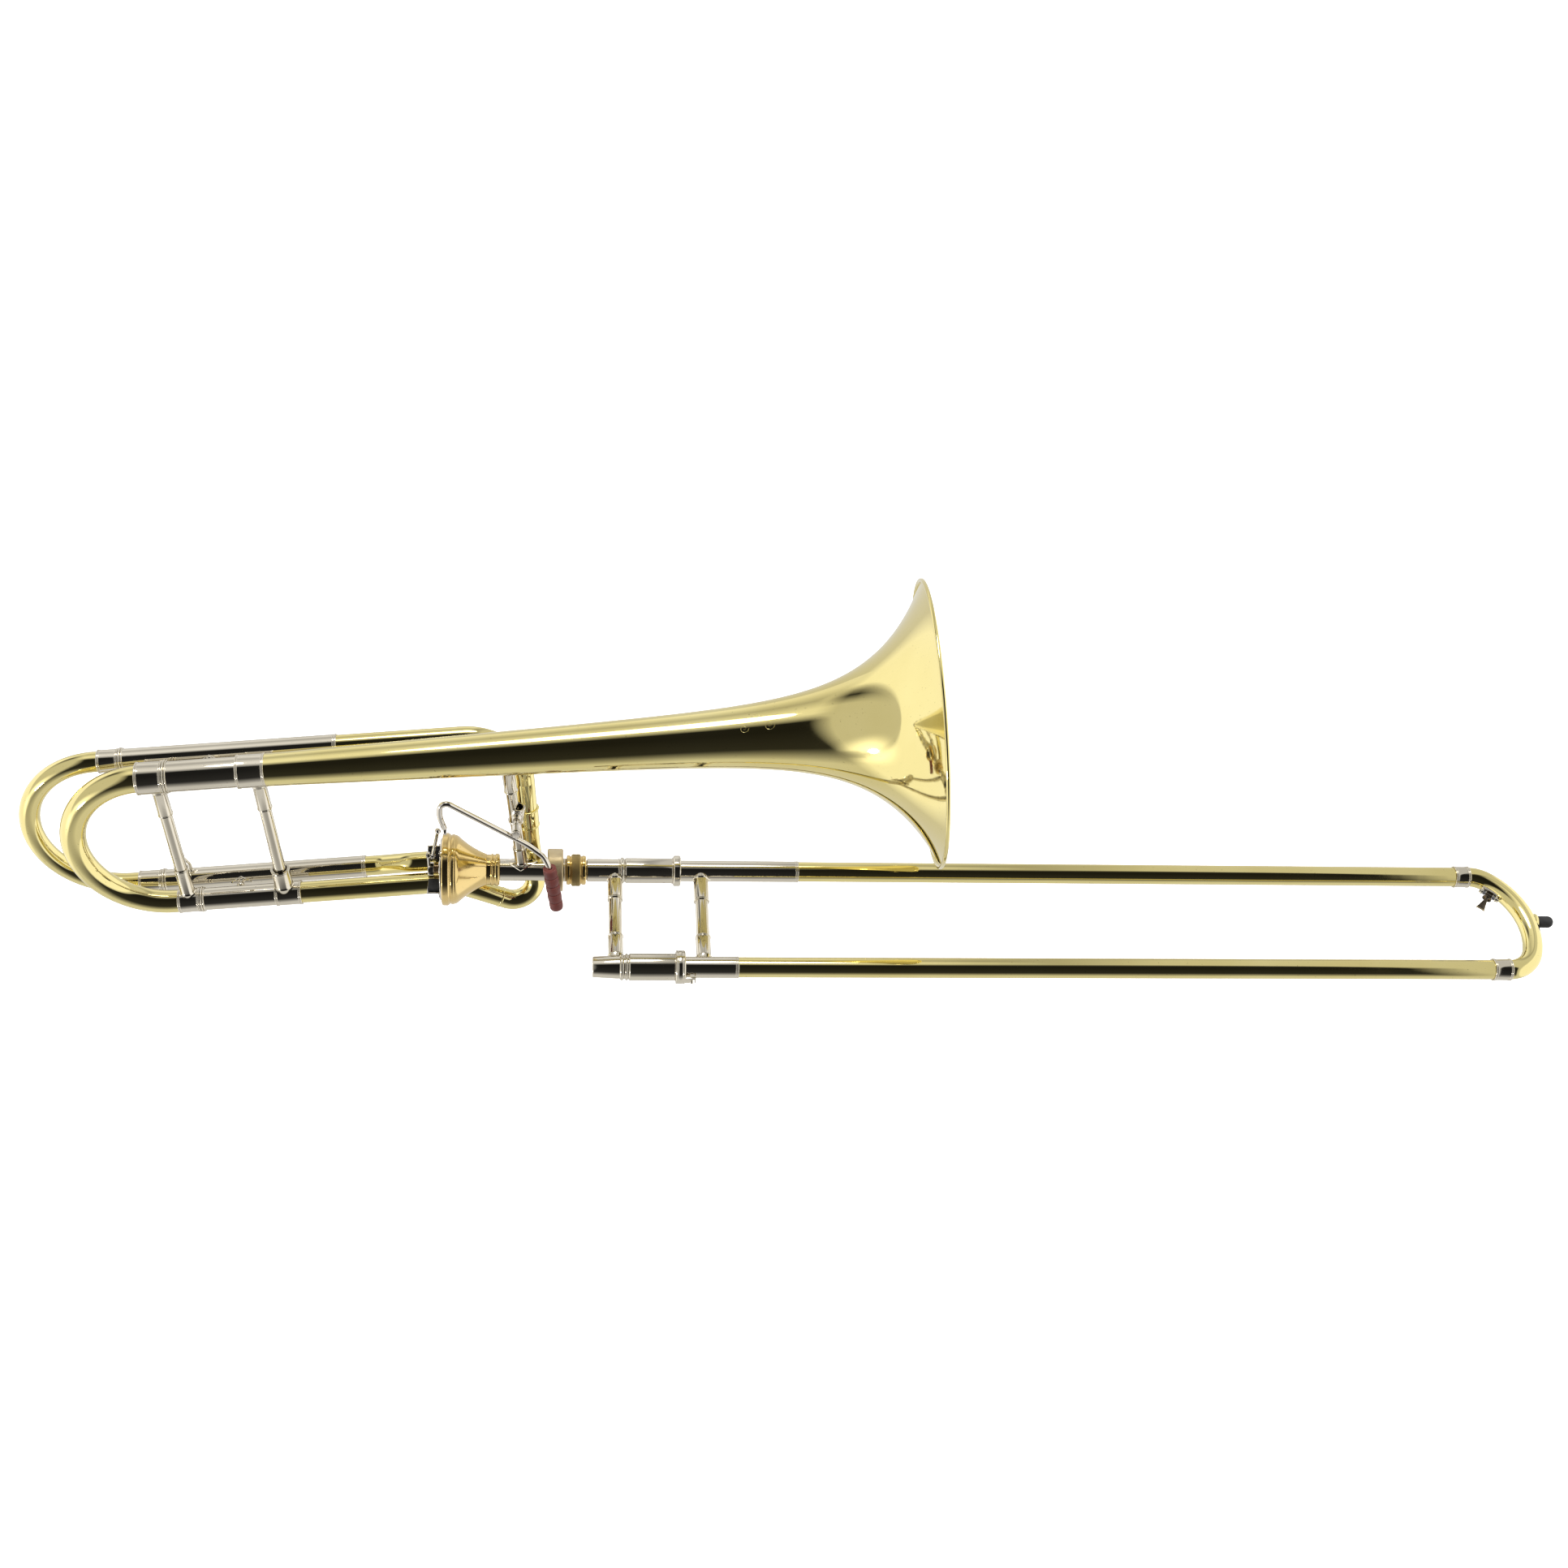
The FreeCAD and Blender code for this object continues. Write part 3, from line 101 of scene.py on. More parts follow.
# ---- materials ----------------------------------------------------------------------------------
class Look:
    """A procedural material: a Principled shader with textures in object coordinates."""

    def __init__(self, name, **uniform):
        self.material = bpy.data.materials.new(name)
        self.material.use_nodes = True
        self.tree = self.material.node_tree
        self.shader = next(n for n in self.tree.nodes if n.type == "BSDF_PRINCIPLED")
        self.place = self.tree.nodes.new("ShaderNodeTexCoord").outputs["Object"]
        for socket, value in uniform.items():
            self.shader.inputs[socket.replace("_", " ")].default_value = value

    def node(self, kind, inputs=None, **settings):
        made = self.tree.nodes.new(kind)
        for name, value in settings.items():
            setattr(made, name, value)
        for name, value in (inputs or {}).items():
            if isinstance(value, bpy.types.NodeSocket):
                self.tree.links.new(value, made.inputs[name])
            else:
                made.inputs[name].default_value = value
        return made

    def stretched(self, scale):
        return self.node("ShaderNodeMapping", {"Vector": self.place, "Scale": scale}).outputs["Vector"]

    def noise(self, scale, detail=4.0, stretch=None, distortion=0.0):
        place = self.stretched(stretch) if stretch else self.place
        inputs = {"Vector": place, "Scale": scale, "Detail": detail, "Distortion": distortion}
        return self.node("ShaderNodeTexNoise", inputs).outputs["Fac"]

    def cells(self, scale, feature="F1"):
        node = self.node("ShaderNodeTexVoronoi", {"Vector": self.place, "Scale": scale}, feature=feature)
        return node.outputs["Distance"]

    def bands(self, scale, direction="X", distortion=0.4):
        inputs = {"Vector": self.place, "Scale": scale, "Distortion": distortion, "Detail": 2.0}
        return self.node("ShaderNodeTexWave", inputs, bands_direction=direction).outputs["Fac"]

    def span(self, source, low, high, start=0.35, end=0.65):
        inputs = {"Value": source, "From Min": start, "From Max": end, "To Min": low, "To Max": high}
        return self.node("ShaderNodeMapRange", inputs).outputs["Result"]

    def maths(self, operation, first, second):
        node = self.node("ShaderNodeMath", operation=operation)
        for index, value in enumerate((first, second)):
            if isinstance(value, bpy.types.NodeSocket):
                self.tree.links.new(value, node.inputs[index])
            else:
                node.inputs[index].default_value = value
        return node.outputs["Value"]

    def pointiness(self):
        return self.node("ShaderNodeNewGeometry").outputs["Pointiness"]

    def ramp(self, source, stops):
        node = self.node("ShaderNodeValToRGB", {"Fac": source})
        band = node.color_ramp
        while len(band.elements) < len(stops):
            band.elements.new(0.5)
        for element, (position, colour) in zip(band.elements, stops):
            element.position = position
            element.color = (*colour, 1.0)
        return node.outputs["Color"]

    def mottle(self, scale, detail, low, high):
        """A noise that runs from one colour to another."""
        return self.ramp(self.noise(scale, detail), [(0.3, low), (0.7, high)])

    def tint(self, factor, first, second):
        node = self.node("ShaderNodeMix", data_type="RGBA", blend_type="MIX")
        for index, value in ((0, factor), (6, first), (7, second)):
            if isinstance(value, bpy.types.NodeSocket):
                self.tree.links.new(value, node.inputs[index])
            else:
                node.inputs[index].default_value = value
        return node.outputs[2]

    def feed(self, socket, source):
        self.tree.links.new(source, self.shader.inputs[socket])

    def relief(self, *layers):
        """Bumps one on another; each layer is (height, strength, depth in metres)."""
        normal = None
        for height, strength, depth in layers:
            inputs = {"Height": height, "Strength": strength, "Distance": depth}
            if normal:
                inputs["Normal"] = normal
            normal = self.node("ShaderNodeBump", inputs).outputs["Normal"]
        self.feed("Normal", normal)


def polished(name, light, deep, gloss, buffing, ripple=0.05, **uniform):
    """Buffed metal: slow tone change, hazy handling marks, fine buffing lines and a faint ripple."""
    look = Look(name, Metallic=1.0, **uniform)
    tone = look.ramp(look.noise(11.0, 5.0), [(0.32, deep), (0.68, light)])
    pits = look.span(look.noise(620.0, 2.0), 0.0, 1.0, 0.70, 0.78)
    worn = tuple(0.55 * c for c in deep) + (1.0,)
    look.feed("Base Color", look.tint(pits, tone, worn))
    haze = look.span(look.noise(26.0, 7.0, distortion=0.6), gloss[0], gloss[1])
    lines = look.span(look.noise(1.0, 3.0, stretch=buffing), -0.012, 0.012)
    look.feed("Roughness", look.maths("ADD", haze, lines))
    look.relief((look.noise(48.0, 2.0), ripple, 0.0006),
                (look.noise(1.0, 3.0, stretch=buffing), 0.03, 0.00004))
    return look.material


LOOKS = {}
WARM_BRASS = polished(
    "brass_warm_satin", (0.78, 0.60, 0.27), (0.69, 0.50, 0.20), (0.09, 0.16), (60.0, 900.0, 900.0), 0.04)
LOOKS["lacquered_brass"] = polished(
    "brass_lacquered", (0.82, 0.725, 0.34), (0.75, 0.645, 0.27), (0.025, 0.07), (40.0, 700.0, 700.0), 0.03,
    Coat_Weight=0.2, Coat_Roughness=0.03)
LOOKS["nickel_silver"] = polished(
    "nickel_silver_buffed", (0.72, 0.675, 0.575), (0.63, 0.585, 0.485), (0.035, 0.09),
    (60.0, 900.0, 900.0), 0.03)
LOOKS["plated_tube"] = polished(
    "chromed_tube", (0.82, 0.82, 0.81), (0.76, 0.76, 0.76), (0.09, 0.15), (14.0, 1400.0, 1400.0), 0.02)
LOOKS["linkage_nickel"] = polished(
    "linkage_nickel_bright", (0.74, 0.70, 0.63), (0.66, 0.62, 0.55), (0.05, 0.11), (500.0, 500.0, 500.0))


def satin_collar():
    look = Look("collar_satin_gilt", Metallic=0.85)
    turned = look.bands(560.0, "X", 0.25)
    patina = look.mottle(60.0, 6.0, (0.56, 0.45, 0.26), (0.66, 0.55, 0.35))
    look.feed("Base Color", look.tint(look.span(turned, 0.0, 0.22, 0.2, 0.8), patina, (0.42, 0.33, 0.19, 1)))
    look.feed("Roughness", look.span(look.noise(180.0, 5.0), 0.34, 0.46))
    look.relief((turned, 0.22, 0.00006), (look.noise(1400.0, 3.0), 0.12, 0.00004))
    return look.material


def knurled():
    look = Look("brass_knurled", Metallic=1.0)
    edge = look.span(look.pointiness(), 0.0, 1.0, 0.44, 0.58)
    # the colour runs dark brown in the knurl's hollows and plain brass on its crests
    knurl_hollow_tone = look.mottle(300.0, 5.0, (0.13, 0.085, 0.03), (0.20, 0.14, 0.055))
    look.feed("Base Color", look.tint(edge, knurl_hollow_tone, (0.62, 0.47, 0.20, 1)))
    look.feed("Roughness", look.span(edge, 0.42, 0.17, 0.0, 1.0))
    look.relief((look.noise(2200.0, 3.0), 0.15, 0.00004))
    return look.material


def rotor_metal():
    look = Look("rotor_bronze_lapped", Metallic=1.0)
    turned = look.bands(420.0, "X", 0.2)
    tone = look.mottle(70.0, 5.0, (0.46, 0.30, 0.15), (0.58, 0.41, 0.22))
    look.feed("Base Color", tone)
    look.feed("Roughness", look.span(look.noise(260.0, 5.0), 0.24, 0.38))
    look.relief((turned, 0.2, 0.00005))
    return look.material


def rubber():
    look = Look("rubber_black", Specular_IOR_Level=0.35)
    bloom = look.noise(170.0, 6.0)
    look.feed("Base Color", look.ramp(bloom, [(0.3, (0.010, 0.010, 0.011)), (0.7, (0.030, 0.030, 0.031))]))
    look.feed("Roughness", look.span(bloom, 0.48, 0.72))
    look.relief((look.noise(900.0, 4.0), 0.25, 0.00008), (look.noise(60.0, 2.0), 0.1, 0.0004))
    return look.material


def grip_plastic():
    look = Look("grip_burgundy", Specular_IOR_Level=0.4, Subsurface_Weight=0.04, Subsurface_Scale=0.001)
    mottle = look.mottle(120.0, 6.0, (0.125, 0.028, 0.024), (0.180, 0.043, 0.036))
    rub = look.span(look.pointiness(), 0.0, 0.55, 0.51, 0.60)
    look.feed("Base Color", look.tint(rub, mottle, (0.31, 0.11, 0.09, 1)))
    look.feed("Roughness", look.span(look.noise(240.0, 5.0), 0.42, 0.60))
    look.relief((look.noise(1100.0, 4.0), 0.30, 0.00007), (look.cells(520.0), 0.12, 0.00005))
    return look.material


def dark_metal():
    look = Look("key_dark_nickel", Metallic=0.9)
    edge = look.span(look.pointiness(), 0.0, 1.0, 0.53, 0.62)
    tone = look.mottle(240.0, 5.0, (0.045, 0.036, 0.026), (0.085, 0.070, 0.050))
    look.feed("Base Color", look.tint(edge, tone, (0.45, 0.37, 0.22, 1)))
    look.feed("Roughness", look.span(look.noise(500.0, 5.0), 0.20, 0.36))
    look.relief((look.noise(1500.0, 3.0), 0.10, 0.00004))
    return look.material


def cork_look():
    look = Look("cork_pressed", Roughness=0.85)
    flecks = look.span(look.noise(1900.0, 3.0), 0.0, 1.0, 0.56, 0.66)
    grains = look.ramp(look.cells(1300.0), [(0.0, (0.62, 0.42, 0.23)), (0.7, (0.40, 0.24, 0.12))])
    look.feed("Base Color", look.tint(flecks, grains, (0.13, 0.07, 0.03, 1)))
    look.relief((look.cells(1300.0), 0.5, 0.0002))
    return look.material


def spring_look():
    look = Look("spring_steel_blued", Metallic=1.0)
    tone = look.mottle(900.0, 4.0, (0.20, 0.21, 0.24), (0.36, 0.36, 0.38))
    look.feed("Base Color", tone)
    look.feed("Roughness", look.span(look.noise(700.0, 4.0), 0.20, 0.34))
    look.relief((look.noise(2600.0, 3.0), 0.12, 0.00003))
    return look.material


def floor_look():
    look = Look("floor_pale", Specular_IOR_Level=0.1, Emission_Color=(1.0, 1.0, 1.0, 1.0),
                Emission_Strength=0.55)
    look.feed("Base Color", look.mottle(2.0, 4.0, (0.93, 0.93, 0.93), (0.95, 0.95, 0.95)))
    look.feed("Roughness", look.span(look.noise(30.0, 4.0), 0.82, 0.92))
    look.relief((look.noise(350.0, 4.0), 0.05, 0.0002))
    return look.material


LOOKS["collar_satin"] = satin_collar()
LOOKS["knurled_brass"] = knurled()
LOOKS["rotor_bronze"] = rotor_metal()
LOOKS["black_rubber"] = rubber()
LOOKS["burgundy_grip"] = grip_plastic()
LOOKS["dark_key"] = dark_metal()
LOOKS["cork"] = cork_look()
LOOKS["spring_steel"] = spring_look()

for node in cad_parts.values():
    for place in node.material_slots:
        if place.material and place.material.name in LOOKS:
            place.material = LOOKS[place.material.name]


# ---- mesh building ------------------------------------------------------------------------------
# the radius at which an outline ends on its axis
AXIS = 0.01


def arc3(first, middle, last, steps):
    """Points of the circle arc through three (x, r) points, ends included."""
    (ax, ay), (bx, by), (cx, cy) = first, middle, last
    d = 2 * (ax * (by - cy) + bx * (cy - ay) + cx * (ay - by))
    ux = ((ax**2 + ay**2) * (by - cy) + (bx**2 + by**2) * (cy - ay) + (cx**2 + cy**2) * (ay - by)) / d
    uy = ((ax**2 + ay**2) * (cx - bx) + (bx**2 + by**2) * (ax - cx) + (cx**2 + cy**2) * (bx - ax)) / d
    start, end = math.atan2(ay - uy, ax - ux), math.atan2(cy - uy, cx - ux)
    turn = (end - start + math.pi) % (2 * math.pi) - math.pi
    reach = math.hypot(ax - ux, ay - uy)
    return [(ux + reach * math.cos(start + turn * k / steps), uy + reach * math.sin(start + turn * k / steps))
            for k in range(steps + 1)]


def soften(outline, reach, steps=3):
    """Round the corners of a closed (x, r) outline that turn by more than 35 degrees."""
    made = []
    count = len(outline)
    for index in range(count):
        before, here, after = (Vector(outline[(index + k) % count]) for k in (-1, 0, 1))
        back, on = before - here, after - here
        if back.length < 1e-6 or on.length < 1e-6:
            continue
        turn = math.pi - back.angle(on)
        cut = min(reach, 0.45 * back.length, 0.45 * on.length)
        if turn < math.radians(35) or cut < 0.02 or here.y < 0.05:
            made.append(tuple(here))
            continue
        first, last = here + back.normalized() * cut, here + on.normalized() * cut
        for k in range(steps + 1):
            t = k / steps
            made.append(tuple(first * (1 - t) ** 2 + here * (2 * t * (1 - t)) + last * t**2))
    return made


def lathe(outline, place=PART, segments=72, soft=0.25):
    """Revolve a closed (x, r) outline about X."""
    profile = soften(outline, soft) if soft else outline
    count = len(profile)
    points = []
    for x, r in profile:
        for k in range(segments):
            a = 2 * math.pi * k / segments
            points.append(place @ V(x, r * math.cos(a), r * math.sin(a)))
    faces = []
    for i in range(count):
        j = (i + 1) % count
        if profile[i][1] < 0.03 and profile[j][1] < 0.03:
            continue
        for k in range(segments):
            n = (k + 1) % segments
            faces.append((i * segments + k, i * segments + n, j * segments + n, j * segments + k))
    return points, faces


def drawn(x0, x1, outer, inner=AXIS):
    """The outline of a plain tube, or of a rod where no inner radius is given."""
    return [(x0, inner), (x0, outer), (x1, outer), (x1, inner)]


def ridge(x, r, width, height, steps=6):
    """A half-round bead standing on radius r."""
    return [(x + width * (1 - math.cos(math.pi * k / steps)) / 2, r + height * math.sin(math.pi * k / steps))
            for k in range(steps + 1)]


def beaded(x0, x1, outer, inner, height=0.45):
    """A ferrule outline with a wide and a narrow bead at each end."""
    wide, narrow = 1.15, 0.75
    return ([(x0, inner), (x0, outer)] + ridge(x0 + 0.05, outer, wide, height)
            + ridge(x0 + 0.2 + wide, outer, narrow, 0.6 * height)
            + ridge(x1 - 0.2 - wide - narrow, outer, narrow, 0.6 * height)
            + ridge(x1 - 0.05 - wide, outer, wide, height) + [(x1, outer), (x1, inner)])


def aimed(origin, direction, place=PART):
    """A frame whose X runs along a direction from an origin."""
    turn = direction.normalized().to_track_quat("X", "Z").to_matrix().to_4x4()
    return place @ Matrix.Translation(origin) @ turn


def route(points, radii, degrees=4.0):
    """Straight runs through the points joined by tangent arcs, as a dense list of points."""
    made = [points[0]]
    for index, radius in enumerate(radii):
        before, corner, after = points[index:index + 3]
        back, on = (before - corner).normalized(), (after - corner).normalized()
        half = back.angle(on) / 2
        centre = corner + (back + on).normalized() * (radius / math.sin(half))
        first = corner + back * (radius / math.tan(half)) - centre
        last = corner + on * (radius / math.tan(half)) - centre
        swing = first.angle(last)
        steps = max(5, int(math.degrees(swing) / degrees))
        for k in range(steps + 1):
            t = k / steps
            weight = (math.sin((1 - t) * swing), math.sin(t * swing))
            made.append(centre + (first * weight[0] + last * weight[1]) / math.sin(swing))
    made.append(points[-1])
    return made


def rings(points, radii, place, segments, start_side=Z):
    """Circles carried along a path without twist."""
    made = []
    side = None
    for index, point in enumerate(points):
        before, after = points[max(index - 1, 0)], points[min(index + 1, len(points) - 1)]
        heading = (after - before).normalized()
        side = (side or start_side) - heading * (side or start_side).dot(heading)
        if side.length < 1e-4:
            side = heading.orthogonal()
        side.normalize()
        across = heading.cross(side)
        for k in range(segments):
            a = 2 * math.pi * k / segments
            made.append(place @ (point + (side * math.cos(a) + across * math.sin(a)) * radii[index]))
    return made


def pipe(points, radius, place=PART, wall=None, segments=48, end_radius=None, round_ends=False):
    """A tube along a path; a wall makes it hollow, otherwise its ends are closed."""
    lengths = [0.0]
    for a, b in zip(points, points[1:]):
        lengths.append(lengths[-1] + (b - a).length)
    radii = [radius + ((end_radius or radius) - radius) * s / lengths[-1] for s in lengths]
    if round_ends:
        first, last = (points[0] - points[1]).normalized(), (points[-1] - points[-2]).normalized()
        dome = [math.radians(a) for a in (80, 55, 30, 10)]
        points = ([points[0] + first * (radius * math.sin(a) - radius) for a in dome] + points[1:-1]
                  + [points[-1] + last * (radius * math.sin(a) - radius) for a in reversed(dome)])
        radii = ([radius * math.cos(a) for a in dome] + radii[1:-1]
                 + [radius * math.cos(a) for a in reversed(dome)])
    made = rings(points, radii, place, segments)
    count = len(points)
    if wall:
        made += rings(points, [r - wall for r in radii], place, segments)
    faces = []
    for i in range(count - 1):
        for k in range(segments):
            n = (k + 1) % segments
            faces.append((i * segments + k, i * segments + n, (i + 1) * segments + n, (i + 1) * segments + k))
            if wall:
                o = count * segments
                faces.append((o + i * segments + k, o + (i + 1) * segments + k, o + (i + 1) * segments + n,
                              o + i * segments + n))
    last = (count - 1) * segments
    if wall:
        o = count * segments
        for k in range(segments):
            n = (k + 1) % segments
            faces.append((k, o + k, o + n, n))
            faces.append((last + k, last + n, o + last + n, o + last + k))
    else:
        faces.append(tuple(range(segments - 1, -1, -1)))
        faces.append(tuple(last + k for k in range(segments)))
    return made, faces


def prism(outline, low, high, place=PART, bevel=0.25):
    """A flat outline in the local XY plane raised from low to high, with rounded edges."""
    mesh = bmesh.new()
    base = [mesh.verts.new((x, y, low)) for x, y in outline]
    face = mesh.faces.new(base)
    raised = bmesh.ops.extrude_face_region(mesh, geom=[face])
    bmesh.ops.translate(mesh, vec=(0, 0, high - low),
                        verts=[v for v in raised["geom"] if isinstance(v, bmesh.types.BMVert)])
    bmesh.ops.recalc_face_normals(mesh, faces=mesh.faces)
    if bevel:
        edges = [e for e in mesh.edges if e.calc_face_angle(0) > math.radians(25)]
        bmesh.ops.bevel(mesh, geom=edges, offset=bevel, segments=3, profile=0.5, affect="EDGES",
                        clamp_overlap=True)
    mesh.verts.ensure_lookup_table()
    points = [place @ v.co for v in mesh.verts]
    faces = [tuple(v.index for v in f.verts) for f in mesh.faces]
    mesh.free()
    return points, faces


def diamond(origin, tube, out, tube_r, length, width, place, thickness=0.7, steps=16):
    """A diamond flange wrapped on a tube: tube is its axis, out the side it stands on."""
    tube, out = tube.normalized(), out.normalized()
    across = tube.cross(out)
    points = []
    for i in range(steps + 1):
        for j in range(steps + 1):
            a, b = i / steps, j / steps
            x, y = (a + b - 1) * length, (a - b) * width
            rim = min(min(a, 1 - a, b, 1 - b) / 0.07, 1.0)
            r = tube_r - 0.05 + (thickness + 0.05) * math.sqrt(1 - (1 - rim) ** 2)
            turn = y / tube_r
            points.append(place @ (origin + tube * x + out * (r * math.cos(turn))
                                   + across * (r * math.sin(turn))))
    row = steps + 1
    faces = [(i * row + j, (i + 1) * row + j, (i + 1) * row + j + 1, i * row + j + 1)
             for i in range(steps) for j in range(steps)]
    return points, faces


def ball(centre, radius, place=PART, segments=32):
    profile = [(-radius * math.cos(math.pi * k / 16), max(radius * math.sin(math.pi * k / 16), AXIS))
               for k in range(17)]
    return lathe(profile, place @ Matrix.Translation(centre), segments, 0)


def piece(name, parts, body, slot_name, *nodes, sharp=38.0, look=None):
    """One Blender object from several (points, faces) parts in millimetres."""
    points, faces = [], []
    for more_points, more_faces in parts:
        start = len(points)
        points += [MM @ p for p in more_points]
        faces += [tuple(start + k for k in f) for f in more_faces]
    mesh = bpy.data.meshes.new(name)
    mesh.from_pydata(points, [], faces)
    build = bmesh.new()
    build.from_mesh(mesh)
    bmesh.ops.remove_doubles(build, verts=build.verts, dist=2e-7)
    bmesh.ops.recalc_face_normals(build, faces=build.faces)
    build.to_mesh(mesh)
    build.free()
    mesh.shade_smooth()
    mesh.set_sharp_from_angle(angle=math.radians(sharp))
    mesh.materials.append(look or LOOKS[slot_name])
    made = bpy.data.objects.new(name, mesh)
    scene.collection.objects.link(made)
    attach(made, body)
    if nodes:
        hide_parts(*nodes)


def shifted(x=0.0, y=0.0, z=0.0, place=PART):
    return place @ Matrix.Translation((x, y, z))


def slotted_head(place, radius, height, slot_width=0.5, slot_depth=0.45):
    """A screw head along local X whose outer face has a driver slot: two rounded half discs on a base."""
    parts = [lathe(drawn(0, height - slot_depth, radius),
                   place, 32, 0.12)]
    reach = math.acos(slot_width / 2 / radius)
    for flip in (0, math.pi):
        outline = [(radius * math.cos(a + flip + math.pi / 2), radius * math.sin(a + flip + math.pi / 2))
                   for a in (-reach + 2 * reach * k / 14 for k in range(15))]
        # the prism is drawn in XY and stands along Z, so it is turned to stand along X
        stand = place @ Matrix.Rotation(math.radians(90), 4, "Y")
        parts.append(prism(outline, height - slot_depth - 0.1, height, stand, 0.12))
    return parts


def brace(low, high, tube, place, low_r, high_r, low_len, high_len, socket_r, rod_r, feet, cup_r=None):
    """A cross brace: sockets with a fillet and an end ring on diamond feet, joined by a rod."""
    out = (high - low).normalized()
    height = (high - low).length
    parts = []
    ends = ((low, out, low_r, low_len, cup_r or socket_r), (high, -out, high_r, high_len, socket_r))
    for origin, away, tube_r, length, radius in ends:
        top = tube_r + length
        bore = rod_r + 0.7 if radius > socket_r else rod_r - 0.1
        outline = ([(0.55 * tube_r, rod_r - 0.3), (0.55 * tube_r, radius), (tube_r + 0.5, radius + 0.75),
                    (tube_r + 0.9, radius + 0.32), (tube_r + 1.8, radius), (top - 2.1, radius)]
                   + ridge(top - 2.0, radius, 0.7, 0.22) + ridge(top - 1.15, radius, 1.1, 0.35)
                   + [(top, radius), (top, bore), (top - 5.0, bore), (top - 5.2, rod_r - 0.3)])
        parts.append(lathe(outline, aimed(origin, away, place), 56, 0.18))
        parts.append(diamond(origin, tube, away, tube_r, feet[0], feet[1], place))
    start, end = low_r + low_len - 5.5, height - high_r - high_len + 5.5
    parts.append(lathe(drawn(start, end, rod_r), aimed(low, out, place), 48, 0))
    return parts


# ---- hand slide, fixed half ---------------------------------------------------------------------
BORE, INNER, STOCKING = 6.95, 7.25, 7.35
OUTER_BORE, OUTER, SLEEVE = 7.42, 7.75, 8.15
TUBE_WALL = 0.6
LOCK_SWING_DEG, LOCK_PIN_X = 38.0, 74.6
BOW_R = 57.7


def inner_slide():
    receiver = ([(0.0, 6.35), (0.0, 7.6), (0.5, 7.9), (19.6, 8.88)] + ridge(20.4, 8.95, 2.9, 1.2)
                + [(23.5, 9.2), (24.2, 9.2)] + ridge(24.3, 9.3, 2.2, 0.85)
                + [(27.0, 9.4), (27.0, 7.3), (36.0, 7.25), (36.0, BORE), (30.0, BORE), (30.0, 6.35)])
    piece("mouthpiece_receiver_turned", [lathe(receiver, soft=0.35)], "inner_slide", "nickel_silver",
          "mouthpiece_receiver")
    lower = ([(27.0, 7.4), (27.0, 9.6), (27.9, 10.3), (61.4, 10.3)] + ridge(61.5, 9.95, 0.9, 0.5)
             + [(62.4, 10.05), (69.0, 10.05), (69.2, 9.9), (69.2, 8.75), (30.0, 8.75), (30.0, 7.4)])
    piece("lower_cork_barrel_turned", [lathe(lower, soft=0.3)], "inner_slide", "nickel_silver",
          "lower_cork_barrel")
    upper = ([(25.2, 7.4), (25.2, 9.2), (26.0, 9.8), (61.2, 9.8)] + ridge(61.3, 9.75, 0.9, 0.4)
             + [(62.4, 11.1), (63.2, 12.0), (67.4, 12.0), (68.2, 11.2), (68.2, 8.75), (28.2, 8.75),
                (28.2, 7.4)])
    piece("upper_cork_barrel_turned", [lathe(upper, UPPER, soft=0.35)], "inner_slide", "nickel_silver",
          "upper_cork_barrel")
    for name, place, x0, x1 in (("inner_tube_lower", PART, 36.1, 692.0),
                                ("inner_tube_upper", UPPER, 20.0, 680.0)):
        tube = [(x0, BORE), (x0, INNER), (x1 - 112.0, INNER), (x1 - 110.0, STOCKING), (x1 - 0.6, STOCKING),
                (x1, INNER), (x1, BORE)]
        piece(name + "_drawn", [lathe(tube, place, soft=0.1)], "inner_slide", "plated_tube", name)
    neck = ([(-50.0, BORE), (-50.0, 7.4), (-49.0, 7.66), (-4.2, 7.66), (-4.0, 8.9), (19.8, 8.9)]
            + ridge(20.0, 8.9, 1.0, 0.5) + ridge(21.6, 9.0, 3.0, 1.3)
            + [(25.2, 9.0), (25.2, 7.3), (20.0, BORE)])
    piece("slide_neck_turned", [lathe(neck, UPPER, soft=0.25)], "inner_slide", "nickel_silver", "slide_neck")
    parts = brace(V(17.4, 0, 0), V(17.4, SPACING, 0), X, PART, 8.9, 8.9, 19.0, 19.0, 5.7, 5.0, (6.9, 5.4))
    piece("inner_brace_soldered", parts, "inner_slide", "nickel_silver", "inner_brace")
    # cork rings packed in the barrels' closed ends
    corks = [lathe(drawn(30.1, 36.0, 8.7, 7.9), PART, 48, 0.2),
             lathe(drawn(28.3, 33.0, 8.7, 7.9), UPPER, 48, 0.2)]
    piece("barrel_corks", corks, "inner_slide", "cork")


def slide_lock():
    ring = ([(62.25, 10.17), (62.2, 12.1), (62.8, 12.7), (63.6, 12.9), (64.1, 12.55), (64.6, 12.8),
             (67.0, 12.8),
             (67.5, 12.55), (68.0, 12.9), (68.8, 12.7), (69.4, 12.1), (69.4, 10.17)])
    parts = [lathe(ring, soft=0.2, segments=96)]
    # the catch is a hooked tongue: drawn as x, z and standing along -y
    hook = [(68.4, -3.0), (73.0, -3.0), (73.0, 1.4), (76.2, 1.4), (76.2, -3.0), (77.2, -3.0), (77.2, 3.0),
            (68.4, 3.0)]
    stand = Matrix.Rotation(math.radians(90), 4, "X")
    parts.append(prism(hook, 10.35, 12.35, stand, 0.3))
    piece("slide_lock_ring_turned", parts, "slide_lock", "nickel_silver", "slide_lock_ring")


